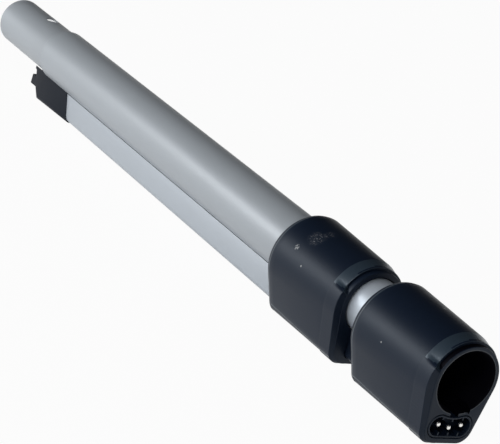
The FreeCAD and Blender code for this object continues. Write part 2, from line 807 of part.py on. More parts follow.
# Lock collar cover, with the window for the rocker in its side
lock_shell = collar_shell("lock_collar_shell", s.lock_collar_front, s.lock_collar_length)
core_cavity = core_section(lock_shell, "core_cavity", -s.lock_collar_front, "slim", s.seat_gap)
pocket(lock_shell, "core_bay", core_cavity, s.lock_core_length + s.seat_gap)
tube_seat = new_sketch(lock_shell, "tube_seat", "YZ_Plane", -s.lock_collar_front)
draw_circle(tube_seat, 0, 0, s.outer_tube_radius + s.seat_gap)
pocket(lock_shell, "tube_way", tube_seat)
channel_seat = new_sketch(lock_shell, "channel_seat", "YZ_Plane", -s.lock_collar_front)
draw_trough(
    channel_seat,
    s.channel_half_width + s.seat_gap,
    bore_reach,
    -(s.channel_bottom + s.seat_gap),
    s.channel_corner + s.seat_gap,
)
pocket(lock_shell, "channel_way", channel_seat)
window = new_sketch(lock_shell, "window", "XZ_Plane", -s.pocket_floor)
draw_box(
    window,
    -(s.rocker_front + s.rocker_length + s.free_gap),
    -(s.rocker_front - s.free_gap),
    -(s.rocker_half_height + s.free_gap),
    s.rocker_half_height + s.free_gap,
)
pocket(lock_shell, "window_cut", window)
pin_slot = new_sketch(lock_shell, "pin_way", "XZ_Plane")
draw_circle(pin_slot, -s.latch_along, 0, s.latch_radius + s.latch_clearance)
pocket(lock_shell, "pin_way_cut", pin_slot)
pivot_hole = new_sketch(lock_shell, "pivot_hole", "XY_Plane")
draw_circle(pivot_hole, -s.pivot_along, s.pivot_across, s.pivot_radius + s.seat_gap)
pivot_drill = (s.pivot_half_length + s.seat_gap) * 2
pocket(lock_shell, "pivot_drill", pivot_hole, pivot_drill, both=True)

# Lock collar core: the lip, the seal groove, the way for the tube and for the conduit.
lock_core = new_body("lock_collar_core")
lip = collar_section(lock_core, "lip_section", -s.lock_collar_front, "lip")
pad(lock_core, "lip", lip, s.lip_length, reverse=True)
lip_edge = edges_at(lock_core.Shape, -s.lock_collar_front.number)
fillet(lock_core, "lip_edge", lip_edge, s.lip_round)
slim = core_section(lock_core, "slim_section", -s.lock_collar_front - s.lip_length, "slim", zero)
pad(lock_core, "sleeve", slim, s.lock_core_length - s.lip_length, reverse=True)
seal_front = -s.lock_collar_front - s.seal_inset
seal_rear = seal_front - s.seal_width
core_rear = -(s.lock_collar_front + s.lock_core_length)
core_bore = s.inner_tube_radius + s.free_gap
bore_front = s.cut_overrun - s.lock_collar_front
revolve(lock_core, "bore", [
    (bore_front, 0),
    (bore_front, core_bore),
    (seal_front, core_bore),
    (seal_front, s.seal_outer_radius + s.seat_gap),
    (seal_rear, s.seal_outer_radius + s.seat_gap),
    (seal_rear, core_bore),
    (core_rear - s.cut_overrun, core_bore),
    (core_rear - s.cut_overrun, 0),
], cut=True)
conduit_hole(lock_core, "conduit_hole", -s.lock_collar_front, s.free_gap)
pin_way = new_sketch(lock_core, "pin_way", "XZ_Plane")
draw_circle(pin_way, -s.latch_along, 0, s.latch_radius + s.latch_clearance)
pocket(lock_core, "pin_way_cut", pin_way)

# Felt seal and the two plastic guides that carry the inner tube
seal = new_body("seal_ring")
revolve(seal, "felt", [
    (seal_rear + s.seat_gap, s.inner_tube_radius + s.slide_gap),
    (seal_front - s.seat_gap, s.inner_tube_radius + s.slide_gap),
    (seal_front - s.seat_gap, s.seal_outer_radius),
    (seal_rear + s.seat_gap, s.seal_outer_radius),
])

guide = new_body("front_guide")
guide_bore = s.inner_tube_radius + s.slide_gap
guide_outside = s.outer_tube_radius - s.tube_wall - s.seat_gap
revolve(guide, "bush", [
    (outer_front - s.guide_length, guide_bore),
    (core_rear - s.seat_gap, guide_bore),
    (core_rear - s.seat_gap, s.outer_tube_radius),
    (outer_front + s.seat_gap, s.outer_tube_radius),
    (outer_front + s.seat_gap, guide_outside),
    (outer_front - s.guide_length, guide_outside),
])

ring = new_body("rear_glide_ring")
ring_bore = s.inner_tube_radius + s.seat_gap
ring_outside = s.outer_tube_radius - s.tube_wall - s.slide_gap
revolve(ring, "ring", [
    (inner_rear - s.flange_length, s.inner_tube_radius - s.tube_wall),
    (inner_rear - s.seat_gap, s.inner_tube_radius - s.tube_wall),
    (inner_rear - s.seat_gap, ring_bore),
    (inner_rear + s.ring_length, ring_bore),
    (inner_rear + s.ring_length, ring_outside),
    (inner_rear - s.flange_length, ring_outside),
])

# Release rocker: pressed at its ribbed end, it lifts the latch pin out of the detent.
rocker = new_body("release_rocker")
crown = s.rocker_crown_radius
half_height = s.rocker_half_height
section = new_sketch(rocker, "outline", "YZ_Plane", -s.rocker_front)
draw_box(section, s.rocker_inner, crown + s.cut_overrun, -half_height, half_height)
pad(rocker, "bar", section, s.rocker_length, reverse=True)
crown_cut = new_sketch(rocker, "crown", "YZ_Plane", -s.rocker_front)
draw_circle(crown_cut, 0, 0, crown)
draw_circle(crown_cut, 0, 0, crown + half_height)
pocket(rocker, "crown_cut", crown_cut)
top_edges = [
    "Edge%d" % number
    for number, edge in enumerate(rocker.Shape.Edges, start=1)
    if edge.BoundBox.YMin > s.rocker_inner.number + s.cut_overrun.number
]
fillet(rocker, "soft_edges", top_edges, s.rocker_edge_round)
grip = new_sketch(rocker, "grip", "XZ_Plane", -(crown - s.grip_depth))
grip_end = s.grip_inset - (s.rocker_front + s.rocker_length)
grip_half = half_height + s.cut_overrun
draw_box(grip, grip_end, grip_end + s.grip_width, -grip_half, grip_half)
first_grip = pocket(rocker, "grip_groove", grip)
grips = rocker.newObject("PartDesign::LinearPattern", "release_rocker_grips")
grips.Originals = [first_grip]
grips.Direction = (origin_item(rocker, "X_Axis"), [""])
grips.Occurrences = SIZES["grip_count"]
bind(grips, "Occurrences", s.grip_count)
bind(grips, "Length", s.grip_pitch * (s.grip_count - 1))
rocker.Tip = grips
document.recompute()
pivot_bore = new_sketch(rocker, "pivot_bore", "XY_Plane")
draw_circle(pivot_bore, -s.pivot_along, s.pivot_across, s.pivot_radius + s.slide_gap)
pocket(rocker, "pivot_drill", pivot_bore, grip_half * 2, both=True)
latch_seat = new_sketch(rocker, "latch_seat", "XZ_Plane", -(s.latch_top + s.seat_gap))
draw_circle(latch_seat, -s.latch_along, 0, s.latch_radius + s.seat_gap)
pocket(rocker, "latch_seat_cut", latch_seat, reverse=True)

lock_pin = new_body("lock_pin")
pin_circle = new_sketch(lock_pin, "circle", "XZ_Plane", -s.latch_tip)
draw_circle(pin_circle, -s.latch_along, 0, s.latch_radius)
pad(lock_pin, "pin", pin_circle, s.latch_top - s.latch_tip, reverse=True)
pin_tip = [
    "Edge%d" % number
    for number, edge in enumerate(lock_pin.Shape.Edges, start=1)
    if edge.BoundBox.YMax < s.latch_tip.number + TOUCH
]
fillet(lock_pin, "tip", pin_tip, s.latch_tip_round)

pivot = new_body("rocker_pivot")
pivot_circle = new_sketch(pivot, "circle", "XY_Plane")
draw_circle(pivot_circle, -s.pivot_along, s.pivot_across, s.pivot_radius)
pad(pivot, "pin", pivot_circle, s.pivot_half_length * 2, both=True)

# Leaf spring: a bowed strip between the pocket's floor and the ribbed end of the rocker.
spring = new_body("rocker_spring")
leaf = new_sketch(spring, "bow", "XY_Plane")
leaf_low = s.pocket_floor + s.seat_gap
leaf_high = s.rocker_inner - s.seat_gap
leaf_end = -(s.spring_front + s.spring_span)
crest_rear = leaf_end + (s.spring_span - s.spring_crest) * 0.5
crest_front = crest_rear + s.spring_crest
draw_polygon(leaf, [
    (-s.spring_front, leaf_low),
    (-s.spring_front, leaf_low + s.spring_thick),
    (crest_front, leaf_high),
    (crest_rear, leaf_high),
    (leaf_end, leaf_low + s.spring_thick),
    (leaf_end, leaf_low),
    (crest_rear, leaf_high - s.spring_thick),
    (crest_front, leaf_high - s.spring_thick),
])
pad(spring, "leaf", leaf, s.spring_width, both=True)

# Plug housing: it closes the channel, hugs the step of the tube and carries the nose.
plug = new_body("plug_housing")
side_view = new_sketch(plug, "side_view", "XZ_Plane")
draw_polygon(side_view, [
    (plug_front - s.plug_slant, bore_reach),
    (plug_front, -s.plug_front_bottom),
    (channel_rear - s.plug_heel_reach, -s.plug_rear_bottom),
    (plug_back, -s.nose_bottom),
    (plug_back, -s.spike_low),
    (spike_end, -s.spike_high),
    (spike_end, bore_reach),
])
pad(plug, "cheeks", side_view, s.plug_half_width * 2, both=True)
belly_top = TOUCH - s.plug_front_bottom.number
belly = [
    "Edge%d" % number
    for number, edge in enumerate(plug.Shape.Edges, start=1)
    if edge.BoundBox.ZMax < belly_top and edge.BoundBox.YLength < TOUCH
]
fillet(plug, "belly_edges", belly, s.belly_round)
back = [
    "Edge%d" % number
    for number, edge in enumerate(plug.Shape.Edges, start=1)
    if edge.BoundBox.XMax < plug_back.number + TOUCH and edge.BoundBox.YLength < TOUCH
    and edge.BoundBox.ZMax < TOUCH - s.spike_low.number
]
fillet(plug, "back_edges", back, s.back_round)
nose_view = new_sketch(plug, "nose_view", "XZ_Plane")
draw_box(nose_view, nose_tip, plug_back + s.nose_root, -s.nose_bottom, -s.nose_top)
pad(plug, "nose", nose_view, s.nose_half_width * 2, both=True)
nose_edges = [
    "Edge%d" % number
    for number, edge in enumerate(plug.Shape.Edges, start=1)
    if edge.BoundBox.XMax < nose_tip.number + TOUCH
]
fillet(plug, "nose_edges", nose_edges, s.plug_round)
revolve(plug, "tube_saddle", [
    (plug_front + s.cut_overrun, 0),
    (plug_front + s.cut_overrun, s.outer_tube_radius + s.seat_gap),
    (step_start, s.outer_tube_radius + s.seat_gap),
    (step_end, s.spigot_radius + s.neck_room),
    (nose_tip - s.cut_overrun, s.spigot_radius + s.neck_room),
    (nose_tip - s.cut_overrun, 0),
], cut=True)
channel_bay = new_sketch(plug, "channel_bay", "YZ_Plane", channel_rear - s.seat_gap)
draw_trough(
    channel_bay,
    s.channel_half_width + s.seat_gap,
    bore_reach,
    -(s.channel_bottom + s.seat_gap),
    s.channel_corner + s.seat_gap,
)
pocket(plug, "channel_bay_cut", channel_bay, reverse=True)
lead_bay = new_sketch(plug, "lead_bay", "YZ_Plane", lead_rear - s.seat_gap)
draw_circle(lead_bay, 0, -s.lead_down, s.lead_radius + s.free_gap)
pocket(plug, "lead_bay_cut", lead_bay, plug_front - lead_rear, reverse=True)
for place in (-1, 0, 1):
    hole = new_sketch(plug, "sleeve_hole_%d" % (place + 2), "YZ_Plane", nose_tip)
    draw_circle(hole, s.sleeve_pitch * place, -s.sleeve_down, s.sleeve_radius + s.seat_gap)
    pocket(plug, "sleeve_way_%d" % (place + 2), hole, s.sleeve_length, reverse=True)

# Brass sleeves that take the floor nozzle's pins
for place in (-1, 0, 1):
    sleeve = new_body("plug_sleeve_%d" % (place + 2))
    tube = new_sketch(sleeve, "wall", "YZ_Plane", nose_tip + s.sleeve_inset)
    draw_circle(tube, s.sleeve_pitch * place, -s.sleeve_down, s.sleeve_radius)
    draw_circle(tube, s.sleeve_pitch * place, -s.sleeve_down, s.sleeve_radius - s.sleeve_wall)
    pad(sleeve, "tube", tube, s.sleeve_length - s.sleeve_inset - s.seat_gap)

# Curly lead: one fat tube of the coil's outer diameter.
lead = new_body("curly_lead")
coil = new_sketch(lead, "coil", "YZ_Plane", lead_rear)
draw_circle(coil, 0, -s.lead_down, s.lead_radius)
draw_circle(coil, 0, -s.lead_down, s.lead_core_radius)
pad(lead, "coil_tube", coil, -s.lead_front - lead_rear)

# Screws driven in from the underside
handle_low = collar_bottom(zero, s.handle_collar_length, s.contact_screw_along)
screw_hole(handle_shell, s.contact_screw_along, zero, handle_low, s.contact_screw_top)
shank_hole(socket, s.contact_screw_along, zero, handle_low, s.contact_screw_top)
shank_hole(block, s.contact_screw_along, zero, handle_low, s.contact_screw_top)
screw("contact_screw", s.contact_screw_along, [zero], handle_low, s.contact_screw_top)

lock_low = collar_bottom(s.lock_collar_front, s.lock_collar_length, s.collar_screw_along)
lock_low = lock_low - s.collar_screw_rise
sides = (-s.collar_screw_across, s.collar_screw_across)
for across in sides:
    screw_hole(lock_shell, s.collar_screw_along, across, lock_low, s.collar_screw_top)
    shank_hole(lock_core, s.collar_screw_along, across, lock_low, s.collar_screw_top)
screw("collar_screws", s.collar_screw_along, sides, lock_low, s.collar_screw_top)

plug_screw_along = s.plug_screw_reach - channel_rear
screw_hole(plug, plug_screw_along, zero, s.plug_rear_bottom, s.plug_screw_top)
screw("plug_screw", plug_screw_along, [zero], s.plug_rear_bottom, s.plug_screw_top)

document.recompute()

for item in document.Objects:
    if "Invalid" in item.State or "Error" in item.State:
        raise ValueError("%s is in state %s" % (item.Label, item.State))
for body in bodies:
    if body.Shape.isNull() or not body.Shape.isValid():
        raise ValueError("%s has no valid solid" % body.Label)
for body in bodies:
    body.Shape.exportStep("parts/%s.step" % body.Label)
    print(body.Label, len(body.Shape.Solids), round(body.Shape.Volume, 1))
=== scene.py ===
# %% [markdown]
# This lesson dresses a telescopic vacuum wand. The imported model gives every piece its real
# place, in metres, and the scene adds smooth meshes and finishes around it. Each mesh starts
# from the sizes of the solid that it stands for. The collars' covers and the contact pins then
# follow the photo a little more closely than their solids do.

# %% Load the fixed frame
import math

import bmesh
import bpy
import numpy as np
from mathutils import Matrix, Vector


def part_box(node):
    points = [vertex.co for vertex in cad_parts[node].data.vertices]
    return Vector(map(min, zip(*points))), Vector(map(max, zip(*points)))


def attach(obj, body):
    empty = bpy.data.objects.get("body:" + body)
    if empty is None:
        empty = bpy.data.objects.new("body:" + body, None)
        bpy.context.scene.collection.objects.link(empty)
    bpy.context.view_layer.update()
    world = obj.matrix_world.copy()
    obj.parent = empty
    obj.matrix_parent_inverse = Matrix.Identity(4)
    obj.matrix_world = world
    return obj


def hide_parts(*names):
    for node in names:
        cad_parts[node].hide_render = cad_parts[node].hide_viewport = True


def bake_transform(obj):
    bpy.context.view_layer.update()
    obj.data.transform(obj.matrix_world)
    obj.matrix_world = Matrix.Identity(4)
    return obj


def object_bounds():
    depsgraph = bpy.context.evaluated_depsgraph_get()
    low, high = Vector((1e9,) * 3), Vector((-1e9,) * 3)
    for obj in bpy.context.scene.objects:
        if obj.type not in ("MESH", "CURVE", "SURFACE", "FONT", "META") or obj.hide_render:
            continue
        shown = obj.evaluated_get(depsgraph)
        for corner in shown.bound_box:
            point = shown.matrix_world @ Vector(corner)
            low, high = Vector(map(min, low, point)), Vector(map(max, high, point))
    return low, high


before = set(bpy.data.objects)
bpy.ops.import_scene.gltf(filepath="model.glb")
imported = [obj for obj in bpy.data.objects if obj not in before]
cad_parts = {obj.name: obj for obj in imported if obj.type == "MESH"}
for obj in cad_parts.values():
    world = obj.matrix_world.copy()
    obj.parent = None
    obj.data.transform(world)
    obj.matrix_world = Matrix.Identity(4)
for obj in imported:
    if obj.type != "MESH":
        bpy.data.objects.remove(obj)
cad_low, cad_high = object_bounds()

MM = 0.001
scene = bpy.context.scene


def span(node):
    """Where a solid of the frame begins and ends along the wand, in millimetres."""
    low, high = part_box(node)
    return low.x / MM, high.x / MM


# %% [markdown]
# The collars, the contact block and the troughs each keep one kind of outline all along. It is
# written as plain runs of arcs and lines across the wand, so that a change of one radius changes
# every section that uses it.

# %% Outlines across the wand
def arc_run(across, up, radius, start, end, count=48):
    """Points along an arc, with angles in degrees, counter-clockwise when end is larger."""
    turn = np.radians(np.linspace(start, end, count))
    return np.column_stack((across + radius * np.cos(turn), up + radius * np.sin(turn)))


def circle_line(radius):
    return arc_run(0, 0, radius, -180, 179, 240)


def hull_line(radius, drop, out, down, corner):
    """Collar outline: a round top, leaning flanks and two rounded lower corners."""
    fall = down - drop
    lean = math.atan2(fall, out) - math.acos((radius - corner) / math.hypot(out, fall))
    lean = math.degrees(lean)
    return np.vstack((
        arc_run(0, -drop, radius, -lean, 180 + lean, 160),
        arc_run(-out, -down, corner, 180 + lean, 270),
        arc_run(out, -down, corner, -90, -lean),
    ))


def kidney_line(saddle, lobe, down):
    """Kidney outline: a saddle round the bore, two lobes and a straight base."""
    across = math.sqrt((saddle + lobe) ** 2 - down ** 2)
    swing = math.degrees(math.atan2(down, across))
    return np.vstack((
        arc_run(across, -down, lobe, -90, 180 - swing, 72),
        arc_run(0, 0, saddle, -swing, swing - 180, 48),
        arc_run(-across, -down, lobe, swing, 270, 72),
    ))


def trough_line(half_width, top, bottom, corner):
    """An upright block with square top corners and rounded bottom corners."""
    return np.vstack((
        arc_run(half_width - corner, -bottom + corner, corner, -90, 0, 24),
        [(half_width, -top), (-half_width, -top)],
        arc_run(corner - half_width, -bottom + corner, corner, 180, 270, 24),
    ))


print("a collar outline has", len(hull_line(25, 1, 8, 29, 8)), "points")

# %% [markdown]
# To loft from one outline to the next, both need the same number of points in the same order.
# So an outline is kept as one distance for each direction from a point inside it. Two sections
# with the same directions then join face to face.

# %% Sections as distances from a point inside
RING_COUNT = 288
STEPS_PER_LINE = 12
HULL_CENTRE = (0.0, -10.0)
KIDNEY_CENTRE = (0.0, -27.6)
DIRECTIONS = np.linspace(-math.pi, math.pi, RING_COUNT, endpoint=False)


def section(line, centre=HULL_CENTRE):
    """The distance from the centre to a closed outline, in evenly spaced directions."""
    closed = np.vstack((line, line[:1]))
    dense = np.vstack([
        np.linspace(first, second, STEPS_PER_LINE, endpoint=False)
        for first, second in zip(closed, closed[1:])
    ])
    offset = dense - np.array(centre)
    angle = np.arctan2(offset[:, 1], offset[:, 0])
    order = np.argsort(angle)
    reach = np.hypot(offset[:, 0], offset[:, 1])
    return np.interp(DIRECTIONS, angle[order], reach[order], period=2 * math.pi)


def section_points(reach, centre=HULL_CENTRE):
    across = centre[0] + reach * np.cos(DIRECTIONS)
    return np.column_stack((across, centre[1] + reach * np.sin(DIRECTIONS)))


print("a section has", len(section(circle_line(20))), "directions")

# %% [markdown]
# Most pieces are a stack of such sections along the wand. One helper turns a stack into a mesh,
# with a face at both ends or, for a wall with an inside, a last row back to the first section.

# %% Meshes from stacks of sections
WELD_DISTANCE = 0.005


def new_piece(name, data):
    piece = bpy.data.objects.new(name, data)
    scene.collection.objects.link(piece)
    return piece


def mesh_from_bmesh(name, shape):
    bmesh.ops.remove_doubles(shape, verts=shape.verts, dist=WELD_DISTANCE * MM)
    bmesh.ops.recalc_face_normals(shape, faces=shape.faces)
    mesh = bpy.data.meshes.new(name)
    shape.to_mesh(mesh)
    shape.free()
    return mesh


def bridge(shape, first, second):
    """A closed band of quads between two rows of the same number of points."""
    for at in range(len(first)):
        after = (at + 1) % len(first)
        shape.faces.new((first[at], first[after], second[after], second[at]))


def fill_rows(shape, rows, looped=False):
    """Joins rows of points, then closes both ends or the last row to the first."""
    for first, second in zip(rows, rows[1:]):
        bridge(shape, first, second)
    if looped:
        bridge(shape, rows[-1], rows[0])
    else:
        shape.faces.new(rows[0])
        shape.faces.new(rows[-1])


def stack(name, rings, looped=False):
    """Joins rings of (along, points) into one closed mesh. Sizes are in millimetres."""
    shape = bmesh.new()
    rows = [
        [
            shape.verts.new((x * MM, y * MM, z * MM))
            for x, (y, z) in zip(np.broadcast_to(along, len(points)), points)
        ]
        for along, points in rings
    ]
    fill_rows(shape, rows, looped)
    return new_piece(name, mesh_from_bmesh(name, shape))


def lathe(name, profile, count=RING_COUNT, centre=(0, 0), looped=True):
    """Turns a profile of (along, radius) points round a line parallel to the wand."""
    turn = np.linspace(0, 2 * math.pi, count, endpoint=False)
    ring = np.column_stack((np.cos(turn), np.sin(turn)))
    rings = [(along, ring * radius + np.array(centre)) for along, radius in profile]
    return stack(name, rings, looped)


# %% [markdown]
# Openings are cut with exact booleans, so a window or a keyway has a crisp edge. A cutter leaves
# the scene as soon as it has cut, and every modifier is turned into plain mesh.

# %% Modifiers, cuts and plain cutters
def soften(piece, degrees=30):
    """Smooth shading that keeps the edges sharper than an angle."""
    mesh = piece.data
    mesh.polygons.foreach_set("use_smooth", [True] * len(mesh.polygons))
    mesh.set_sharp_from_angle(angle=math.radians(degrees))


def settle(piece):
    """Turns a piece and its modifiers into one plain mesh."""
    depsgraph = bpy.context.evaluated_depsgraph_get()
    mesh = bpy.data.meshes.new_from_object(piece.evaluated_get(depsgraph))
    piece.modifiers.clear()
    old = piece.data
    piece.data = mesh
    bpy.data.meshes.remove(old)


def carve(piece, cutters, operation="DIFFERENCE"):
    """Cuts each cutter out of a piece, or joins it on, and removes the cutters."""
    for cutter in cutters:
        boolean = piece.modifiers.new("carve", "BOOLEAN")
        boolean.operation = operation
        boolean.solver = "EXACT"
        boolean.object = cutter
    settle(piece)
    for cutter in cutters:
        bpy.data.objects.remove(cutter)


def ease(piece, width, segments, degrees):
    """Rounds every edge that is sharper than an angle."""
    edge = piece.modifiers.new("edge", "BEVEL")
    edge.width = width * MM
    edge.segments = segments
    edge.limit_method = "ANGLE"
    edge.angle_limit = math.radians(degrees)
    settle(piece)


def block(name, low, high):
    """A plain block between two corners, used as a cutter."""
    shape = bmesh.new()
    bmesh.ops.create_cube(shape, size=1)
    size = Vector(high) - Vector(low)
    middle = (Vector(high) + Vector(low)) / 2
    for vert in shape.verts:
        vert.co = Vector([(vert.co[i] * size[i] + middle[i]) * MM for i in range(3)])
    return new_piece(name, mesh_from_bmesh(name, shape))


def upright_rod(name, along, radius, low, high, axis="Z", count=96):
    """A round rod across the wand, along Z or Y, used as a cutter."""
    shape = bmesh.new()
    rows = [[], []]
    for row, level in zip(rows, (low, high)):
        for angle in np.linspace(0, 2 * math.pi, count, endpoint=False):
            first = along + radius * math.cos(angle)
            second = radius * math.sin(angle)
            spot = (first, second, level) if axis == "Z" else (first, level, second)
            row.append(shape.verts.new(Vector(spot) * MM))
    fill_rows(shape, rows)
    return new_piece(name, mesh_from_bmesh(name, shape))


# %% [markdown]
# Finishes come next. The mouldings, the lacquered tube and the channel all have a very fine grain
# and slow changes of gloss, so one shader group makes both, and each material sets its own sizes.
# The Principled shader stays in the material, where an exporter can read its plain numbers.

# %% Small tools to wire nodes
SOCKET_KINDS = {int: "Int", float: "Float", 3: "Vector", 4: "Color"}


def new_tree(name, kind, inputs, outputs):
    """A node group, the sockets inside it, and the sockets that it hands out."""
    tree = bpy.data.node_groups.new(name, kind + "NodeTree")
    for word, value in inputs.items():
        sort = SOCKET_KINDS[len(value) if isinstance(value, tuple) else type(value)]
        socket = tree.interface.new_socket(word, in_out="INPUT", socket_type="NodeSocket" + sort)
        socket.default_value = value
    for word, sort in outputs.items():
        tree.interface.new_socket(word, in_out="OUTPUT", socket_type="NodeSocket" + sort)
    inside = tree.nodes.new("NodeGroupInput").outputs
    return tree, inside, tree.nodes.new("NodeGroupOutput").inputs


def feed(tree, sockets, values):
    """Gives each named socket a plain value, or a link from the socket that feeds it."""
    for word, value in values.items():
        if isinstance(value, bpy.types.NodeSocket):
            tree.links.new(value, sockets[word])
        else:
            sockets[word].default_value = value


def add_node(tree, kind, values, **settings):
    """Adds a node of one kind with its settings and inputs, and returns its outputs."""
    node = tree.nodes.new(tree.bl_idname.replace("Tree", kind))
    for word, value in settings.items():
        setattr(node, word, value)
    feed(tree, node.inputs, values)
    return node.outputs


def math_node(tree, operation, *values):
    """A Math node whose inputs are numbers or sockets, and its output."""
    return add_node(tree, "Math", dict(enumerate(values)), operation=operation)["Value"]


def clamp_node(tree, value):
    return math_node(tree, "MINIMUM", math_node(tree, "MAXIMUM", value, 0.0), 1.0)


def noise_node(tree, vector, scale, detail):
    values = {"Vector": vector, "Scale": scale, "Detail": detail}
    return add_node(tree, "TexNoise", values)["Fac"]


# %% The grain that every finish shares
def make_grain_group():
    """Fine grain, slow colour change and slow gloss change over a surface."""
    group, inside, outside = new_tree("surface_grain", "Shader", {
        "Colour": (0.5, 0.5, 0.5, 1.0),
        "Grain Scale": 4000.0,
        "Grain Tint": 0.02,
        "Cloud Scale": 25.0,
        "Cloud Tint": 0.06,
        "Gloss": 0.4,
        "Gloss Change": 0.05,
        "Stretch": (1.0, 1.0, 1.0),
    }, {"Colour": "Color", "Roughness": "Float", "Height": "Float"})
    where = add_node(group, "TexCoord", {})["Object"]
    stretch = {0: where, 1: inside["Stretch"]}
    stretched = add_node(group, "VectorMath", stretch, operation="MULTIPLY")["Vector"]
    grain = noise_node(group, stretched, inside["Grain Scale"], 3)
    cloud = noise_node(group, where, inside["Cloud Scale"], 4)
    slow = math_node(group, "SUBTRACT", cloud, 0.5)
    fine = math_node(group, "SUBTRACT", grain, 0.5)
    swing = math_node(group, "MULTIPLY_ADD", slow, inside["Cloud Tint"], 1.0)
    swing = math_node(group, "MULTIPLY_ADD", fine, inside["Grain Tint"], swing)
    tint = {0: inside["Colour"], "Scale": swing}
    tinted = add_node(group, "VectorMath", tint, operation="SCALE")["Vector"]
    gloss = math_node(group, "MULTIPLY_ADD", slow, inside["Gloss Change"], inside["Gloss"])
    feed(group, outside, {"Colour": tinted, "Roughness": gloss, "Height": grain})
    return group


GRAIN = make_grain_group()
print("the grain group has", len(GRAIN.nodes), "nodes")

# %% [markdown]
# Both collars carry a few pale specks and rubs from handling, gathered in small patches. A second
# group gives a mask for one patch: it is full at a centre, fades to its reach, and is broken up
# by noise above a threshold. A patch with a low threshold is a smooth rub.

# %% Patches of specks and rubs
FADE = 2.5
SPECK_CONTRAST = 12.0


def make_scuff_group():
    """A mask of pale specks round one centre."""
    group, inside, outside = new_tree("scuff_patch", "Shader", {
        "Centre": (0.0, 0.0, 0.0),
        "Reach": 0.005,
        "Speck Scale": 1500.0,
        "Threshold": 0.6,
    }, {"Mask": "Float"})
    where = add_node(group, "TexCoord", {})["Object"]
    ends = {0: where, 1: inside["Centre"]}
    away = add_node(group, "VectorMath", ends, operation="DISTANCE")["Value"]
    near = math_node(group, "DIVIDE", away, inside["Reach"])
    near = math_node(group, "SUBTRACT", 1.0, near)
    near = clamp_node(group, math_node(group, "MULTIPLY", near, FADE))
    speck = noise_node(group, where, inside["Speck Scale"], 2)
    speck = math_node(group, "SUBTRACT", speck, inside["Threshold"])
    speck = clamp_node(group, math_node(group, "MULTIPLY", speck, SPECK_CONTRAST))
    feed(group, outside, {"Mask": math_node(group, "MULTIPLY", near, speck)})
    return group


SCUFF = make_scuff_group()
print("the scuff group has", len(SCUFF.nodes), "nodes")

# %% [markdown]
# One function then makes each material: the grain group feeds the colour, the roughness and a
# bump, and patches of specks are laid over the colour where a piece has them. Beside the plain
# black there is a smooth, lighter one that paints a highlight on the bevels, a near black one that
# paints shade in the bore, and two lighter ones that paint highlight lines on rims and steps.

# %% Materials
SCUFF_COLOUR = (0.32, 0.33, 0.34, 1)
CLOUD_SCALE = 30
GLOSS_CHANGE = 0.08


def finish(name, colour, gloss, metallic=0.0, specular=0.5, bump=0.02, cloud=0.08, grain=0.02,
           grain_scale=3500, stretch=(1, 1, 1), tint=(1, 1, 1), scuffs=()):
    """One material: the shared grain group feeding its own Principled shader."""
    material = bpy.data.materials.new(name)
    material.use_nodes = True
    tree = material.node_tree
    surface = add_node(tree, "Group", {
        "Colour": (*colour, 1), "Grain Scale": grain_scale, "Grain Tint": grain,
        "Cloud Scale": CLOUD_SCALE, "Cloud Tint": cloud, "Gloss": gloss,
        "Gloss Change": GLOSS_CHANGE, "Stretch": stretch,
    }, node_tree=GRAIN)
    worn = surface["Colour"]
    for centre, reach, scale, threshold in scuffs:
        mask = add_node(tree, "Group", {
            "Centre": Vector(centre) * MM, "Reach": reach * MM, "Speck Scale": scale,
            "Threshold": threshold,
        }, node_tree=SCUFF)["Mask"]
        layers = {"Fac": mask, "Color1": worn, "Color2": SCUFF_COLOUR}
        worn = add_node(tree, "MixRGB", layers)["Color"]
    relief = {"Strength": 1.0, "Distance": bump * MM, "Height": surface["Height"]}
    feed(tree, tree.nodes["Principled BSDF"].inputs, {
        "Metallic": metallic,
        "Specular IOR Level": specular,
        "Specular Tint": (*tint, 1),
        "Base Color": worn,
        "Roughness": surface["Roughness"],
        "Normal": add_node(tree, "Bump", relief)["Normal"],
    })
    return material


# %% The finishes of this wand
PLASTIC = (0.0055, 0.0105, 0.0225)
COOL = (0.8, 0.9, 1.0)
COLD = (0.7, 0.85, 1.0)
PLASTIC_LOOK = {"gloss": 0.43, "specular": 0.24, "bump": 0.02, "cloud": 0.1, "tint": COOL}
LOCK_SCUFFS = (
    ((-138.5, -16.5, 19.5), 6.5, 1700, 0.585),
    ((-136.0, -9.5, 23.4), 4.0, 1900, 0.6),
    ((-144.0, -24.2, 11.0), 2.1, 1100, 0.5),
    ((-132.3, -26.3, 4.1), 0.7, 900, 0.3),
)
HANDLE_SCUFFS = (
    ((-44.9, -27.0, -0.2), 0.6, 900, 0.2),
    ((-38.7, 4.1, 24.9), 3.0, 1500, 0.55),
)
black_plastic = finish("black_plastic", PLASTIC, **PLASTIC_LOOK)
lock_plastic = finish("lock_plastic", PLASTIC, scuffs=LOCK_SCUFFS, **PLASTIC_LOOK)
handle_plastic = finish("handle_plastic", PLASTIC, scuffs=HANDLE_SCUFFS, **PLASTIC_LOOK)
plug_plastic = finish("plug_plastic", (0.0025, 0.004, 0.009), 0.5, specular=0.16, tint=COLD)
# A smooth, lighter black: a painted highlight on the bevels over the collars' tops.
painted_bevel_highlight = finish("painted_bevel_highlight", (0.022, 0.036, 0.053), 0.36, specular=0.9, tint=COOL)
# A near black: painted shade inside the bore and keyway and on the lip's side over the top.
painted_shade_black = finish("painted_shade_black", (0.001, 0.001, 0.003), 0.6, specular=0.05)
# A lighter black: a painted highlight line on the bore's rim.
painted_rim_highlight = finish("painted_rim_highlight", (0.045, 0.055, 0.07), 0.4, specular=0.3)
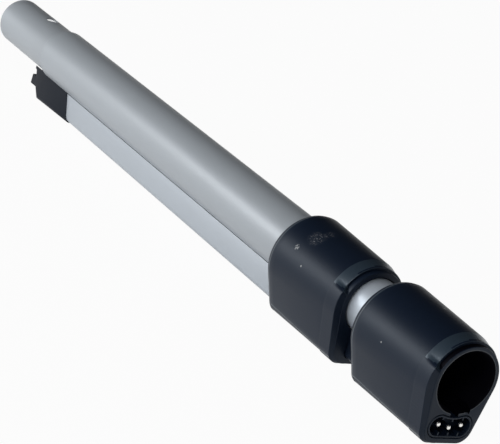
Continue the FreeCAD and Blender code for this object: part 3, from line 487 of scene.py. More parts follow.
# A lighter black: a painted highlight line on the steps round the collars' band.
painted_edge_highlight = finish("painted_edge_highlight", (0.07, 0.09, 0.11), 0.4, specular=0.4)
tube_lacquer = finish("tube_lacquer", (0.385, 0.42, 0.455), 0.42, 0.15, bump=0.012, cloud=0.03,
                      grain=0.2)
bare_steel = finish("bare_steel", (0.80, 0.81, 0.82), 0.30, 1.0, bump=0.004)
bright_steel = finish("bright_steel", (0.50, 0.555, 0.62), 0.42, 0.3, bump=0.004, cloud=0.03,
                      stretch=(0.05, 1, 1))
channel_silver = finish("channel_silver", (0.41, 0.45, 0.495), 0.44, 0.12, bump=0.01, cloud=0.03,
                        grain=0.08)
contact_metal = finish("contact_metal", (0.90, 0.89, 0.86), 0.3, 0.9, bump=0.001, cloud=0.03)
felt = finish("felt", (0.03, 0.03, 0.032), 0.95, bump=0.2, cloud=0.3, grain_scale=1500)
guide_plastic = finish("guide_plastic", (0.70, 0.70, 0.68), 0.35, bump=0.01)
zinc_steel = finish("zinc_steel", (0.55, 0.56, 0.58), 0.3, 1.0, bump=0.01)
lead_rubber = finish("lead_rubber", (0.015, 0.015, 0.016), 0.5, bump=0.03)
print("made", len(bpy.data.materials), "materials")


# %% Placing a piece
def dress(piece, material, degrees=30):
    """Gives a piece its material and its shading."""
    piece.data.materials.clear()
    piece.data.materials.append(material)
    soften(piece, degrees)


def place(piece, body, material, node=None, degrees=30):
    """Dresses a finished piece, gives it its body and hides the solid that it stands for."""
    dress(piece, material, degrees)
    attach(piece, body)
    if node:
        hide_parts(node)
    print(piece.name, len(piece.data.polygons), "faces")


def refinish(piece, materials, choose):
    """Adds finishes and gives each face the one that a function chooses, 0 for the plain one."""
    for material in materials:
        piece.data.materials.append(material)
    counts = [0] * len(piece.data.materials)
    for face in piece.data.polygons:
        face.material_index = choose(face)
        counts[face.material_index] += 1
    print(piece.name, "faces of each finish:", counts)


def facing(face, centre=HULL_CENTRE):
    """How far a face looks away from a line along the wand, in millimetres."""
    middle = face.center / MM
    return face.normal.y * (middle.y - centre[0]) + face.normal.z * (middle.z - centre[1])


# %% [markdown]
# The camera stands where the photograph was taken from. Its focal length and turn come from the
# ellipse of the socket, the seam and the spigot, so the wand fills the frame as it does there.

# %% Camera
SENSOR = 36.0
FRAME_WIDTH = 500
FOCAL_PIXELS = 1861.34
CAMERA_PLACE = Vector((664.79, -672.82, 331.51)) * MM
IMAGE_RIGHT = Vector((0.49845, 0.81278, 0.30155))
IMAGE_DOWN = Vector((0.41022, 0.08530, -0.90799))
IMAGE_AHEAD = Vector((-0.76372, 0.57630, -0.29089))

lens = bpy.data.cameras.new("photo_camera")
lens.sensor_width = SENSOR
lens.sensor_fit = "HORIZONTAL"
lens.lens = FOCAL_PIXELS / FRAME_WIDTH * SENSOR
lens.clip_end = 50
camera = new_piece("photo_camera", lens)
turned = Matrix((IMAGE_RIGHT, -IMAGE_DOWN, -IMAGE_AHEAD)).transposed()
camera.matrix_world = Matrix.Translation(CAMERA_PLACE) @ turned.to_4x4()
scene.camera = camera
print("the lens is", round(lens.lens, 1), "mm long")

# %% [markdown]
# The outer tube is rolled steel, drawn down at the nozzle end to the spigot that plugs into a
# floor nozzle. A turned profile gives it in one go, wall included, and the round latch hole is
# cut after. Its outside is lacquered and its inside is bare, so the inner faces get the bare
# steel, which is what shines through the latch hole.

# %% Outer tube
TUBE_WALL = 0.8
OUTER_RADIUS = 19.3
SPIGOT_RADIUS = 17.5
STEP_LENGTH = 3
STEP_ROUND = 0.35
STEP_FOOT = 0.15
STEP_SHOULDER = 0.12
EDGE_ROUND = 0.25
LATCH_RADIUS = 4.25
SPIGOT_LENGTH = 76
LATCH_FROM_END = 47
LOOKS_IN = -5
far_end, tube_end = span("outer_tube")
step_at = far_end + SPIGOT_LENGTH
latch_at = far_end + LATCH_FROM_END


def tube_profile(points, wall, rounding):
    """A wall profile from its outside points, with rounded ends, as a closed loop."""
    (first, first_radius), (last, last_radius) = points[0], points[-1]
    outside = [(first, first_radius - rounding), (first + rounding, first_radius)]
    outside += points[1:-1]
    outside += [(last - rounding, last_radius), (last, last_radius - rounding)]
    inside = [(along, radius - wall) for along, radius in points]
    return outside + inside[::-1]


outer_tube = lathe("outer_tube_skin", tube_profile([
    (far_end, SPIGOT_RADIUS),
    (step_at - STEP_ROUND, SPIGOT_RADIUS),
    (step_at, SPIGOT_RADIUS + STEP_FOOT),
    (step_at + STEP_LENGTH - STEP_ROUND, OUTER_RADIUS - STEP_SHOULDER),
    (step_at + STEP_LENGTH + STEP_ROUND, OUTER_RADIUS),
    (tube_end, OUTER_RADIUS),
], TUBE_WALL, EDGE_ROUND))
carve(outer_tube, [upright_rod("latch_punch", latch_at, LATCH_RADIUS, 5, 25)])
place(outer_tube, "nozzle_section", tube_lacquer, "outer_tube")
refinish(outer_tube, [bare_steel], lambda face: facing(face, (0, 0)) < LOOKS_IN)

# %% [markdown]
# The inner tube is bright steel with a row of punched detents. The punches repeat at one pitch,
# so Geometry Nodes lay them out: a line of points, a rod on each, made real for the cut. The same
# small tree later grows the ribs of the contact block and the grooves of the rocker.

# %% Geometry Nodes for a straight row
def hand_out(tree, geometry, material, outside):
    """Makes a tree's result real, gives it a material and hands it out."""
    real = add_node(tree, "RealizeInstances", {"Geometry": geometry})["Geometry"]
    coloured = {"Geometry": real, "Material": material}
    feed(tree, outside, add_node(tree, "SetMaterial", coloured))


def row_tree(name, shape_node, shape_sockets, material, turn=(0, 0, 0)):
    """A tree that puts one small shape on each point of a straight row."""
    tree, inside, outside = new_tree(name, "Geometry", {
        "Count": 3,
        "Start": (0.0, 0.0, 0.0),
        "Pitch": (0.0, 0.01, 0.0),
    }, {"Geometry": "Geometry"})
    line = add_node(tree, "MeshLine", {
        "Count": inside["Count"], "Start Location": inside["Start"], "Offset": inside["Pitch"],
    }, mode="OFFSET")["Mesh"]
    shape = add_node(tree, shape_node, shape_sockets)["Mesh"]
    spread = {"Points": line, "Instance": shape, "Rotation": turn}
    spread = add_node(tree, "InstanceOnPoints", spread)["Instances"]
    hand_out(tree, spread, material, outside)
    return tree


def grow(name, tree, values):
    """Runs a geometry tree with named values and keeps its result as a plain mesh."""
    piece = new_piece(name, bpy.data.meshes.new(name))
    modifier = piece.modifiers.new("grow", "NODES")
    modifier.node_group = tree
    for socket in tree.interface.items_tree:
        if socket.in_out == "INPUT" and socket.name in values:
            modifier[socket.identifier] = values[socket.name]
    settle(piece)
    return piece


# %% Inner tube with its row of detents
INNER_RADIUS = 17.5
DETENT_COUNT = 9
DETENT_PITCH = 40
DETENT_RADIUS = 2.6
PUNCH_LENGTH = 20
LATCH_ALONG = -104
inner_rear, inner_front = span("inner_tube")
punch_tree = row_tree(
    "detent_punches", "MeshCylinder",
    {"Vertices": 48, "Radius": DETENT_RADIUS * MM, "Depth": PUNCH_LENGTH * MM},
    bright_steel, (math.pi / 2, 0, 0),
)
punches = grow("detent_punch_row", punch_tree, {
    "Count": DETENT_COUNT,
    "Start": (LATCH_ALONG * MM, PUNCH_LENGTH * MM, 0),
    "Pitch": (-DETENT_PITCH * MM, 0, 0),
})
inner_tube = lathe("inner_tube_skin", tube_profile([
    (inner_rear, INNER_RADIUS),
    (inner_front, INNER_RADIUS),
], TUBE_WALL, EDGE_ROUND))
carve(inner_tube, [punches])
place(inner_tube, "handle_section", bright_steel, "inner_tube")

# %% [markdown]
# The cable channel is a silver trough under the tube. Its outline is drawn once and stretched
# along the wand. Its top edges stop just short of the tube, which leaves the dark seam, and a
# tiny bevel softens them.

# %% Cable channel
def bar(name, outline, rear, front, bevel=0.0):
    """A bar of one closed outline between two places along the wand."""
    piece = stack(name, [(rear, outline), (front, outline)])
    if bevel:
        ease(piece, bevel, 2, 35)
    return piece


def low_corners(width, low, bend, count):
    """The two rounded lower corners of a trough, from left to right."""
    return np.vstack((
        arc_run(bend - width, -low + bend, bend, 180, 270, count),
        arc_run(width - bend, -low + bend, bend, 270, 360, count),
    ))


def trough_wall(half_width, bottom, corner, wall, seat_radius):
    """Outline of an open trough that ends against a round tube."""
    def side(width, low, bend):
        top = -math.sqrt(seat_radius ** 2 - width ** 2)
        return np.vstack(([(-width, top)], low_corners(width, low, bend, 14), [(width, top)]))

    outside = side(half_width, bottom, corner)
    inside = side(half_width - wall, bottom - wall, corner - wall)
    return np.vstack((outside, inside[::-1]))


SEAT_GAP = 0.05
SEAM_GAP = 0.25
CHANNEL_HALF = 10.1
CHANNEL_BOTTOM = 35.2
CHANNEL_CORNER = 3.4
CHANNEL_WALL = 1.0
CHANNEL_BEVEL = 0.3
channel_rear, channel_front = span("cable_channel")
channel = bar("cable_channel_skin", trough_wall(
    CHANNEL_HALF, CHANNEL_BOTTOM, CHANNEL_CORNER, CHANNEL_WALL, OUTER_RADIUS + SEAM_GAP,
), channel_rear, channel_front, CHANNEL_BEVEL)
place(channel, "nozzle_section", channel_silver, "cable_channel")

# %% [markdown]
# The conduit is a black box section under the inner tube that slides inside the channel. Its roof
# is hollowed to clear the tube, and the way for the lead is cut through it.

# %% Conduit
CONDUIT_HALF = 8.4
CONDUIT_BOTTOM = 33.1
CONDUIT_CORNER = 3.0
CONDUIT_WALL = 1.2
CONDUIT_ROOF = 21
FREE_GAP = 0.4
OVERRUN = 5
conduit_rear, conduit_front = span("inner_conduit")
saddle_reach = OUTER_RADIUS + FREE_GAP
saddle_turn = math.degrees(math.asin(CONDUIT_HALF / saddle_reach))
conduit = bar("inner_conduit_skin", np.vstack((
    arc_run(0, 0, saddle_reach, 270 + saddle_turn, 270 - saddle_turn, 24),
    low_corners(CONDUIT_HALF, CONDUIT_BOTTOM, CONDUIT_CORNER, 12),
)), conduit_rear, conduit_front)
lead_way = bar("lead_way", trough_line(
    CONDUIT_HALF - CONDUIT_WALL, CONDUIT_ROOF, CONDUIT_BOTTOM - CONDUIT_WALL,
    CONDUIT_CORNER - CONDUIT_WALL,
), conduit_rear - OVERRUN, conduit_front + OVERRUN)
carve(conduit, [lead_way])
place(conduit, "handle_section", black_plastic, "inner_conduit")

# %% [markdown]
# Both collars wear the same cover: a hull that is round over the tube and narrows to two soft
# corners under the channel. It is a little larger at the rear. At the front a hollow bevel leads
# in to the lip over the round top, and the near flank runs on almost to the mouth, with a bend
# between the two. The bevel over the top is painted lighter, a painted highlight. The broad faces
# stand a hair proud of the rear rim and of the underside, and the small steps there are painted a
# little lighter, a painted highlight line. A stack of sections follows all that, out along the hull
# and back through the inside.

# %% Sizes of a collar cover
# Each hull is a radius, a drop, and the place and radius of the corners, as hull_line takes them.
REAR_HULL = (28.1, 1.9, 9.8, 30.9, 7.5)
FRONT_HULL = (25.7, 1.3, 10.4, 28.5, 9.0)
FAR_FRONT_HULL = (25.7, 1.3, 8.6, 28.8, 8.7)
CREASE_HULL = (23.3, 0.25, 8.3, 28.4, 8.8)
LIP_HULL = (21.6, 0.15, 8.0, 28.3, 8.7)
CORE_HULL = (20.65, 0.0, 8.3, 28.6, 7.45)
SLIM_HULL = (20.65, 0.0, 5.6, 29.0, 7.25)
COLLAR_LENGTH = 72
LIP_LENGTH = 4.0
HULL_STOP = 0.985
HULL_SECTIONS = 14
BEVEL_EDGE = 12
BEVEL_HOLLOW = 0.9
BEVEL_SHARES = np.concatenate(([0.02], np.linspace(0.1, 1.0, 8)))
EDGE_BACK = 0.15
EDGE_DROP = 0.03
CREASE_TOP = 3.9
CREASE_FLANK = 1.4
CREASE_ROUND = 0.25
BEND_HIGH = 11.5
BEND_LOW = 6.5
BEND_SIDE = 6
BAND_DEPTH = 0.4
BAND_START = 2.7
BAND_END = 3.6
BAND_TURN = 35.6
CORNER_HIGHLIGHT_START = -0.5
CORNER_HIGHLIGHT_END = 1.4
BEVEL_SHEEN_MARGIN = 0.1
BEVEL_SHEEN_LEAN = 0.1
RIM = ((0.0, 2.3), (0.1, 1.75), (0.45, 1.25), (1.1, 0.8), (2.0, 0.46), (BAND_START, 0.3))


# %% Sections of a collar cover
def hull_reach(hull, inset=0.0):
    """The section of a hull, pulled in by an inset all round."""
    radius, drop, out, down, corner = hull
    return section(hull_line(radius - inset, drop, out, down, corner - inset))


NEAR_SIDE = np.abs(DIRECTIONS) > math.pi / 2
UNDERSIDE = np.abs(np.degrees(DIRECTIONS) + 90) < BAND_TURN
REAR_REACH = hull_reach(REAR_HULL)
FRONT_REACH = np.where(NEAR_SIDE, hull_reach(FRONT_HULL), hull_reach(FAR_FRONT_HULL))


def cover_reach(share, inset=0.0):
    """The cover's outline at a share of the way from its rear to its bevel."""
    return REAR_REACH + (FRONT_REACH - REAR_REACH) * share - inset


def flank_share(reach):
    """0 over the round top, 1 on the near flank and below, with a bend between."""
    points = section_points(reach)
    share = np.clip((BEND_HIGH - points[:, 1]) / (BEND_HIGH - BEND_LOW), 0, 1)
    return share * share * (3 - 2 * share) * np.clip(-points[:, 0] / BEND_SIDE, 0, 1)


def cover_rings(front, inside, through):
    """Sections of a collar cover, out along the hull and back through its inside."""
    rear = -(front + COLLAR_LENGTH)
    edge = -(front + BEVEL_EDGE)
    rings = [(rear, through)]
    for along, inset in RIM:
        rings.append((rear + along, cover_reach(along / (edge - rear), inset)))
    for share in np.linspace(BAND_END / (edge - rear), HULL_STOP, HULL_SECTIONS):
        rings.append((rear + (edge - rear) * share, cover_reach(share, BAND_DEPTH * UNDERSIDE)))
    crease = hull_reach(CREASE_HULL)
    lip = hull_reach(LIP_HULL) + SEAT_GAP
    flank = flank_share(FRONT_REACH)
    crease_along = -front - CREASE_TOP + (CREASE_TOP - CREASE_FLANK) * flank
    rings.append((edge - EDGE_BACK, FRONT_REACH - EDGE_DROP))
    for share in BEVEL_SHARES:
        fall = (FRONT_REACH - crease) * share + BEVEL_HOLLOW * share * (1 - share)
        rings.append((edge + (crease_along - edge) * share, FRONT_REACH - fall * (1 - flank)))
    top = rings[-1][1]
    rings.append((crease_along + CREASE_ROUND, top - CREASE_ROUND))
    rings.append((crease_along + CREASE_ROUND + (CREASE_FLANK - 2 * CREASE_ROUND) * flank, lip))
    rings.append((-front - LIP_LENGTH, lip))
    for along, hull in inside:
        rings.append((-front - along, hull_reach(hull)))
    rings.append((-front - inside[-1][0], through))
    return [(along, section_points(reach)) for along, reach in rings]


def mark_edges(piece, front):
    """The bevel over the top and the steps round the band get painted highlights."""
    rear = -(front + COLLAR_LENGTH)
    bevel_start = -front - BEVEL_EDGE - BEVEL_SHEEN_MARGIN

    def choose(face):
        middle = face.center / MM
        if facing(face) <= 0:
            return 0
        # Bevel faces over the top take the painted highlight.
        if middle.x > bevel_start and face.normal.x > BEVEL_SHEEN_LEAN:
            return 1 if middle.y > 0 or middle.z > BEND_LOW else 0
        turn = math.atan2(middle.z - HULL_CENTRE[1], middle.y - HULL_CENTRE[0])
        past = abs(math.degrees(turn) + 90) - BAND_TURN
        after = middle.x - rear
        # The steps round the band and at the lower corners take a painted highlight line.
        at_rear = BAND_START < after < BAND_END and past > 0
        at_corner = after > BAND_START and CORNER_HIGHLIGHT_START < past < CORNER_HIGHLIGHT_END
        return 2 if at_rear or at_corner else 0

    refinish(piece, [painted_bevel_highlight, painted_edge_highlight], choose)


def tube_and_trough(radius, half_width, bottom, corner):
    """The opening that lets a tube and the trough under it through, with a seat gap."""
    trough = trough_line(half_width + SEAT_GAP, TROUGH_TOP, bottom + SEAT_GAP, corner)
    return np.maximum(section(circle_line(radius + SEAT_GAP)), section(trough))


# %% Both collar covers
TROUGH_TOP = 5
LOCK_FRONT = 91
CORE_FRONT = 28
HANDLE_CORE = 60
LOCK_CORE = 31
handle_through = tube_and_trough(INNER_RADIUS, CONDUIT_HALF, CONDUIT_BOTTOM, CONDUIT_CORNER)
lock_through = tube_and_trough(OUTER_RADIUS, CHANNEL_HALF, CHANNEL_BOTTOM, CHANNEL_CORNER)
handle_inside = [
    (LIP_LENGTH, CORE_HULL),
    (CORE_FRONT + SEAT_GAP, CORE_HULL),
    (CORE_FRONT + 2 * SEAT_GAP, SLIM_HULL),
    (HANDLE_CORE + SEAT_GAP, SLIM_HULL),
]
lock_inside = [(LIP_LENGTH, SLIM_HULL), (LOCK_CORE + SEAT_GAP, SLIM_HULL)]
handle_cover = stack("handle_cover", cover_rings(0, handle_inside, handle_through), True)
lock_cover = stack("lock_cover", cover_rings(LOCK_FRONT, lock_inside, lock_through), True)
place(handle_cover, "handle_section", handle_plastic, "handle_collar_shell", degrees=24)
mark_edges(handle_cover, 0)

# %% [markdown]
# The lock collar also has a window in its far side for the release rocker. A block cuts it, a
# free gap larger than the rocker all round, so that the rocker can tip.

# %% Window for the rocker
ROCKER_FRONT = -99
ROCKER_REAR = -141
ROCKER_HALF = 7
POCKET_FLOOR = 20.9
WINDOW_REACH = 35
window = block(
    "rocker_window",
    (ROCKER_REAR - FREE_GAP, POCKET_FLOOR, -ROCKER_HALF - FREE_GAP),
    (ROCKER_FRONT + FREE_GAP, WINDOW_REACH, ROCKER_HALF + FREE_GAP),
)
carve(lock_cover, [window])
place(lock_cover, "nozzle_section", lock_plastic, "lock_collar_shell", degrees=24)
mark_edges(lock_cover, LOCK_FRONT)

# %% [markdown]
# The handle socket has a lip, a round bore with a wide lead-in and a stop ring deep inside, a
# keyway that joins the bore to the contact bay, and a thin slit beside it that frees a springy
# tongue. The outside is a stack of sections, and a solid of its own shape cuts each opening.

# %% Body of the handle socket
LIP_ROUND = 0.4


def round_steps(radius, count=5):
    """Steps round an edge, from its face to its side: how far back, and how far in."""
    return [
        (radius * (1 - math.sin(turn)), radius * (1 - math.cos(turn)))
        for turn in np.radians(np.linspace(90, 0, count))
    ]


def core_rings(front, length, hull):
    """Sections of a collar core: rounded lip edge, lip, then the sleeve behind it."""
    steps = round_steps(LIP_ROUND, 6)
    rings = [(-front - back, hull_reach(LIP_HULL, inset)) for back, inset in steps]
    rings.append((-front - LIP_LENGTH, hull_reach(LIP_HULL)))
    sleeve = hull_reach(hull) - SEAT_GAP
    rings.append((-front - LIP_LENGTH, sleeve))
    rings.append((-front - length, sleeve))
    return [(along, section_points(reach)) for along, reach in rings]


socket = stack("socket_front", core_rings(0, CORE_FRONT, CORE_HULL))
slim_sleeve = section_points(hull_reach(SLIM_HULL) - SEAT_GAP)
carve(socket, [bar("socket_rear", slim_sleeve, -HANDLE_CORE, 2 - CORE_FRONT)], "UNION")

# %% [markdown]
# The cutters of the socket are the bore's own turned profile, three small blocks and the kidney
# of the contact bay. The bore starts with a shallow rim, painted lighter as a highlight line, and
# the bay with a fine chamfer. The faces inside, and the side of the lip over the top, are painted
# near black as shade.

# %% Bore, keyway, slit and bay
SOCKET_RADIUS = 17.75
SOCKET_DEPTH = 43
MOUTH_RADIUS = 19.1
MOUTH_DEPTH = 3
MOUTH_CHAMFER = 0.25
MOUTH_EASE = 0.1
RIM_WIDTH = 0.55
RIM_DEPTH = 0.1
STOP_RADIUS = 16.7
KEYWAY_HALF = 2.75
KEYWAY_LENGTH = 36
SLIT_ACROSS = 9
SLIT_WIDTH = 1
SLIT_DEPTH = 12
SLIT_DOWN = 18.6
TONGUE_DOWN = 17.9
OPENING_TOP = -12
SADDLE = 21.2
KEYWAY_REACH = SADDLE + 0.5
LOBE = 6.8
LOBE_DOWN = 26.75
BLOCK_GAP = 0.3
BLOCK_LENGTH = 24
BAY_CHAMFER = 0.25
BAY_CHAMFER_DEPTH = 0.35
STOP_LENGTH = 2
stop_end = -SOCKET_DEPTH - STOP_LENGTH


def kidney_ring(along, inset):
    line = kidney_line(SADDLE + inset, LOBE - inset, LOBE_DOWN)
    return along, section_points(section(line, KIDNEY_CENTRE), KIDNEY_CENTRE)


bore = lathe("bore_cutter", [
    (1, MOUTH_RADIUS + RIM_WIDTH),
    (0, MOUTH_RADIUS + RIM_WIDTH),
    (-RIM_DEPTH, MOUTH_RADIUS),
    (-MOUTH_CHAMFER - RIM_DEPTH, MOUTH_RADIUS - MOUTH_EASE),
    (-MOUTH_DEPTH, SOCKET_RADIUS),
    (-SOCKET_DEPTH, SOCKET_RADIUS),
    (-SOCKET_DEPTH, STOP_RADIUS),
    (stop_end, STOP_RADIUS),
    (stop_end, INNER_RADIUS + SEAT_GAP),
    (-HANDLE_CORE - 2, INNER_RADIUS + SEAT_GAP),
], looped=False)
bay = stack("bay_cutter", [
    kidney_ring(1, -BLOCK_GAP - BAY_CHAMFER),
    kidney_ring(0, -BLOCK_GAP - BAY_CHAMFER),
    kidney_ring(-BAY_CHAMFER_DEPTH, -BLOCK_GAP),
    kidney_ring(-BLOCK_LENGTH, -BLOCK_GAP),
])
slit_end = SLIT_ACROSS + SLIT_WIDTH
openings = [
    block(name, (-depth, start, -down), (1, end, OPENING_TOP))
    for name, depth, start, end, down in (
        ("keyway_cutter", KEYWAY_LENGTH, -KEYWAY_HALF, KEYWAY_HALF, KEYWAY_REACH),
        ("slit_cutter", SLIT_DEPTH, SLIT_ACROSS, slit_end, SLIT_DOWN),
        ("tongue_cutter", SLIT_DEPTH, KEYWAY_HALF, SLIT_ACROSS, TONGUE_DOWN),
    )
]
carve(socket, [bore, *openings, bay])
place(socket, "handle_section", black_plastic, "handle_socket")

# %% Faces of the socket with painted shade or a painted highlight
FLUSH = 0.01
LOOKS_OUT = 0.0005
SIDE_MARGIN = 0.1


def socket_finish(face):
    """1 is painted shade in the bore, keyway and lip side over the top; 2 a painted rim highlight.
    """
    middle = face.center / MM
    out = math.hypot(middle.y, middle.z)
    aside = abs(middle.y) < slit_end + SIDE_MARGIN
    in_keyway = out < KEYWAY_REACH and aside and middle.z < OPENING_TOP
    on_lip = -LIP_LENGTH < middle.x < -LIP_ROUND and middle.z > BEND_LOW
    # Inside the bore and the keyway: painted shade.
    if middle.x < -RIM_DEPTH and (out < MOUTH_RADIUS or in_keyway):
        return 1
    # The lip's side over the top: painted shade.
    if on_lip and facing(face) > LOOKS_OUT:
        return 1
    # The bore's shallow rim: a painted highlight line.
    return 2 if -RIM_DEPTH < middle.x < -FLUSH and out < MOUTH_RADIUS + RIM_WIDTH else 0


refinish(socket, [painted_shade_black, painted_rim_highlight], socket_finish)

# %% [markdown]
# The contact block sits in its bay with a fine shadow line all round. Its rim is rounded, its
# recess has three ribs above and three below that guide the handle's plug, and three pins stand
# in it, bare and bright at the tip and black behind. The ribs repeat, so the row tree grows them.

# %% Contact block
BLOCK_WALL = 1.3
BLOCK_ROUND = 0.45
RECESS_DEPTH = 9
contact_block = stack("contact_block_body", [
    kidney_ring(-BLOCK_LENGTH, 0.0),
    *[kidney_ring(-back, inset) for back, inset in round_steps(BLOCK_ROUND)[::-1]],
    *[kidney_ring(-back, BLOCK_WALL - inset) for back, inset in round_steps(BLOCK_ROUND)],
    kidney_ring(-RECESS_DEPTH, BLOCK_WALL),
])
place(contact_block, "handle_section", black_plastic, "contact_block")

# %% Guide ribs
RIB_PITCH = 7
RIB_WIDTH = 1.0
RIB_INSET = 0.3
RIB_LENGTH = RECESS_DEPTH - RIB_INSET
rib_middle = -RIB_INSET - RIB_LENGTH / 2


def rib_row(name, count, across, down, pitch, height):
    """A row of guide ribs, each centred on its own height in the recess."""
    size = Vector((RIB_LENGTH, RIB_WIDTH, height)) * MM
    tree = row_tree(name, "MeshCube", {"Size": size}, black_plastic)
    ribs = grow(name, tree, {
        "Count": count,
        "Start": Vector((rib_middle, across, -down)) * MM,
        "Pitch": (0, pitch * MM, 0),
    })
    place(ribs, "handle_section", black_plastic)


rib_row("recess_ribs_side", 2, 0.5 - RIB_PITCH, 21.8, 2 * RIB_PITCH, 2.0)
rib_row("recess_ribs_middle", 1, 0.5, 22.9, RIB_PITCH, 2.0)
rib_row("recess_ribs_lower", 3, 0.6 - RIB_PITCH, 31.6, RIB_PITCH, 2.4)

# %% Contact pins
PIN_PITCH = 8
PIN_DOWN = 25.9
PIN_DROP = 1.8
PIN_RADIUS = 1.3
PIN_RECESS = 0.3
PIN_ROUND = 0.7
PIN_BARE = 1.6
PIN_END = 19.3
for number, side in enumerate((-1, 0, 1), start=1):
    centre = (side * PIN_PITCH, -(PIN_DOWN + PIN_DROP * (1 - abs(side))))
    tip = [(-PIN_RECESS - back, PIN_RADIUS - inset) for back, inset in round_steps(PIN_ROUND, 9)]
    shank = [(-PIN_BARE, PIN_RADIUS), (-PIN_END, PIN_RADIUS)]
    pin = lathe("contact_tip_%d" % number, tip + shank, 48, centre, False)
    place(pin, "handle_section", contact_metal, "contact_pin_%d" % number)
    refinish(pin, [black_plastic], lambda face: face.center.x / MM < -PIN_BARE)

# %% [markdown]
# The lock collar has the same lip round its own bore, with a wider way below it for the conduit
# and a hole in its side for the latch pin.

# %% Lock collar core
LIP_CHAMFER = 0.5
PIN_WAY_RADIUS = 2.9
WAY_TOP = 15
way_radius = INNER_RADIUS + FREE_GAP
core_end = -LOCK_FRONT - LOCK_CORE - 1
lock_core = stack("lock_core_front", core_rings(LOCK_FRONT, LOCK_CORE, SLIM_HULL))
lock_bore = lathe("lock_bore_cutter", [
    (-LOCK_FRONT + 1, way_radius + LIP_CHAMFER),
    (-LOCK_FRONT, way_radius + LIP_CHAMFER),
    (-LOCK_FRONT - LIP_CHAMFER, way_radius),
    (core_end, way_radius),
], looped=False)
conduit_way = bar("conduit_way_cutter", trough_line(
    CONDUIT_HALF + FREE_GAP, WAY_TOP, CONDUIT_BOTTOM + FREE_GAP, CONDUIT_CORNER + FREE_GAP,
), core_end, -LOCK_FRONT + 1)
pin_hole = upright_rod("pin_way_cutter", LATCH_ALONG, PIN_WAY_RADIUS, 10, 30, "Y")
carve(lock_core, [lock_bore, conduit_way, pin_hole])
place(lock_core, "nozzle_section", black_plastic, "lock_collar_core")

# %% [markdown]
# The release rocker lies in the window in the collar's far side. Its crown is round like the
# collar, its edges are soft, and grip grooves cross the end that the thumb presses. They repeat,
# so the row tree cuts them too.

# %% Release rocker
CROWN = 27.4
ROCKER_INNER = 22.6
ROCKER_ROUND = 0.7
GRIP_COUNT = 5
GRIP_PITCH = 3
GRIP_WIDTH = 1.2
GRIP_DEPTH = 0.6
GRIP_INSET = 3
crown_turn = math.degrees(math.asin(ROCKER_HALF / CROWN))
rocker = bar("rocker_key", np.vstack((
    [(ROCKER_INNER, ROCKER_HALF), (ROCKER_INNER, -ROCKER_HALF)],
    arc_run(0, 0, CROWN, -crown_turn, crown_turn, 24),
)), ROCKER_REAR, ROCKER_FRONT, ROCKER_ROUND)
groove = {"Size": Vector((GRIP_WIDTH, 2, 20)) * MM}
groove_tree = row_tree("grip_grooves", "MeshCube", groove, black_plastic)
grooves = grow("grip_groove_row", groove_tree, {
    "Count": GRIP_COUNT,
    "Start": Vector((ROCKER_REAR + GRIP_INSET + GRIP_WIDTH / 2, CROWN - GRIP_DEPTH + 1, 0)) * MM,
    "Pitch": (GRIP_PITCH * MM, 0, 0),
})
carve(rocker, [grooves])
place(rocker, "rocker", black_plastic, "release_rocker")

# %% [markdown]
# The plug housing closes the channel at the nozzle end. From the side it is a boat shape with a
# slanted front, a heel, a thin spike that hugs the spigot and a short nose with three sleeves.
# It is drawn as that side view and given a width. Its long lower edges and its back edges are
# rounded first, with a wide round, and what is still sharp gets a small one.

# %% Body and nose of the plug housing
def side_bar(name, outline, half_width, wide_round, is_soft):
    """A side view, as (along, up) points, given a width across the wand."""
    shape = bmesh.new()
    rows = [
        [shape.verts.new((x * MM, across * MM, z * MM)) for x, z in outline]
        for across in (-half_width, half_width)
    ]
    fill_rows(shape, rows)
    soft = [
        edge for edge in shape.edges
        if all(abs(vert.co.y) / MM > half_width - 0.1 for vert in edge.verts)
        and edge.verts[0].co.y * edge.verts[1].co.y > 0
        and all(is_soft(vert.co.x / MM, vert.co.z / MM) for vert in edge.verts)
    ]
    bmesh.ops.bevel(
        shape, geom=soft, offset=wide_round * MM, segments=7, profile=0.5, affect="EDGES",
        clamp_overlap=True,
    )
    return new_piece(name, mesh_from_bmesh(name, shape))


PLUG_HALF = 10.6
PLUG_ROUND = 3.0
PLUG_FRONT = -461.7
PLUG_EDGE = 0.35
NOSE_HALF = 8.8
NOSE_ROUND = 2.4
plug = side_bar("plug_body", [
    (-475.2, -8), (PLUG_FRONT, -35.7), (-514, -37.2), (-520.5, -30.2), (-520.5, -18.6),
    (-525.5, -17.1), (-525.5, -8),
], PLUG_HALF, PLUG_ROUND, lambda x, z: z < -35.5 or (x < -520.4 and -30.3 < z < -18.5))
nose = side_bar("plug_nose", [
    (-532, -30.2), (-532, -23.6), (-516.5, -23.6), (-516.5, -30.2),
], NOSE_HALF, NOSE_ROUND, lambda x, z: x < -531.9)
carve(plug, [nose], "UNION")
ease(plug, PLUG_EDGE, 2, 35)

# %% Room in the plug for the tube, the channel and the sleeves
NECK_ROOM = 0.9
SLEEVE_PITCH = 4.8
SLEEVE_DOWN = 26.9
SLEEVE_RADIUS = 1.65
tube_room = lathe("tube_room", [
    (PLUG_FRONT + 5, OUTER_RADIUS + SEAT_GAP),
    (step_at + STEP_LENGTH, OUTER_RADIUS + SEAT_GAP),
    (step_at, SPIGOT_RADIUS + NECK_ROOM),
    (-535, SPIGOT_RADIUS + NECK_ROOM),
], looped=False)
channel_bay = bar("channel_bay", trough_line(
    CHANNEL_HALF + SEAT_GAP, TROUGH_TOP, CHANNEL_BOTTOM + SEAT_GAP, CHANNEL_CORNER,
), channel_rear - SEAT_GAP, PLUG_FRONT + 10)
sleeve_line = [(-540, SLEEVE_RADIUS), (-523, SLEEVE_RADIUS)]
sleeve_holes = [
    lathe("sleeve_hole", sleeve_line, 48, (SLEEVE_PITCH * side, -SLEEVE_DOWN), False)
    for side in (-1, 0, 1)
]
carve(plug, [tube_room, channel_bay] + sleeve_holes)
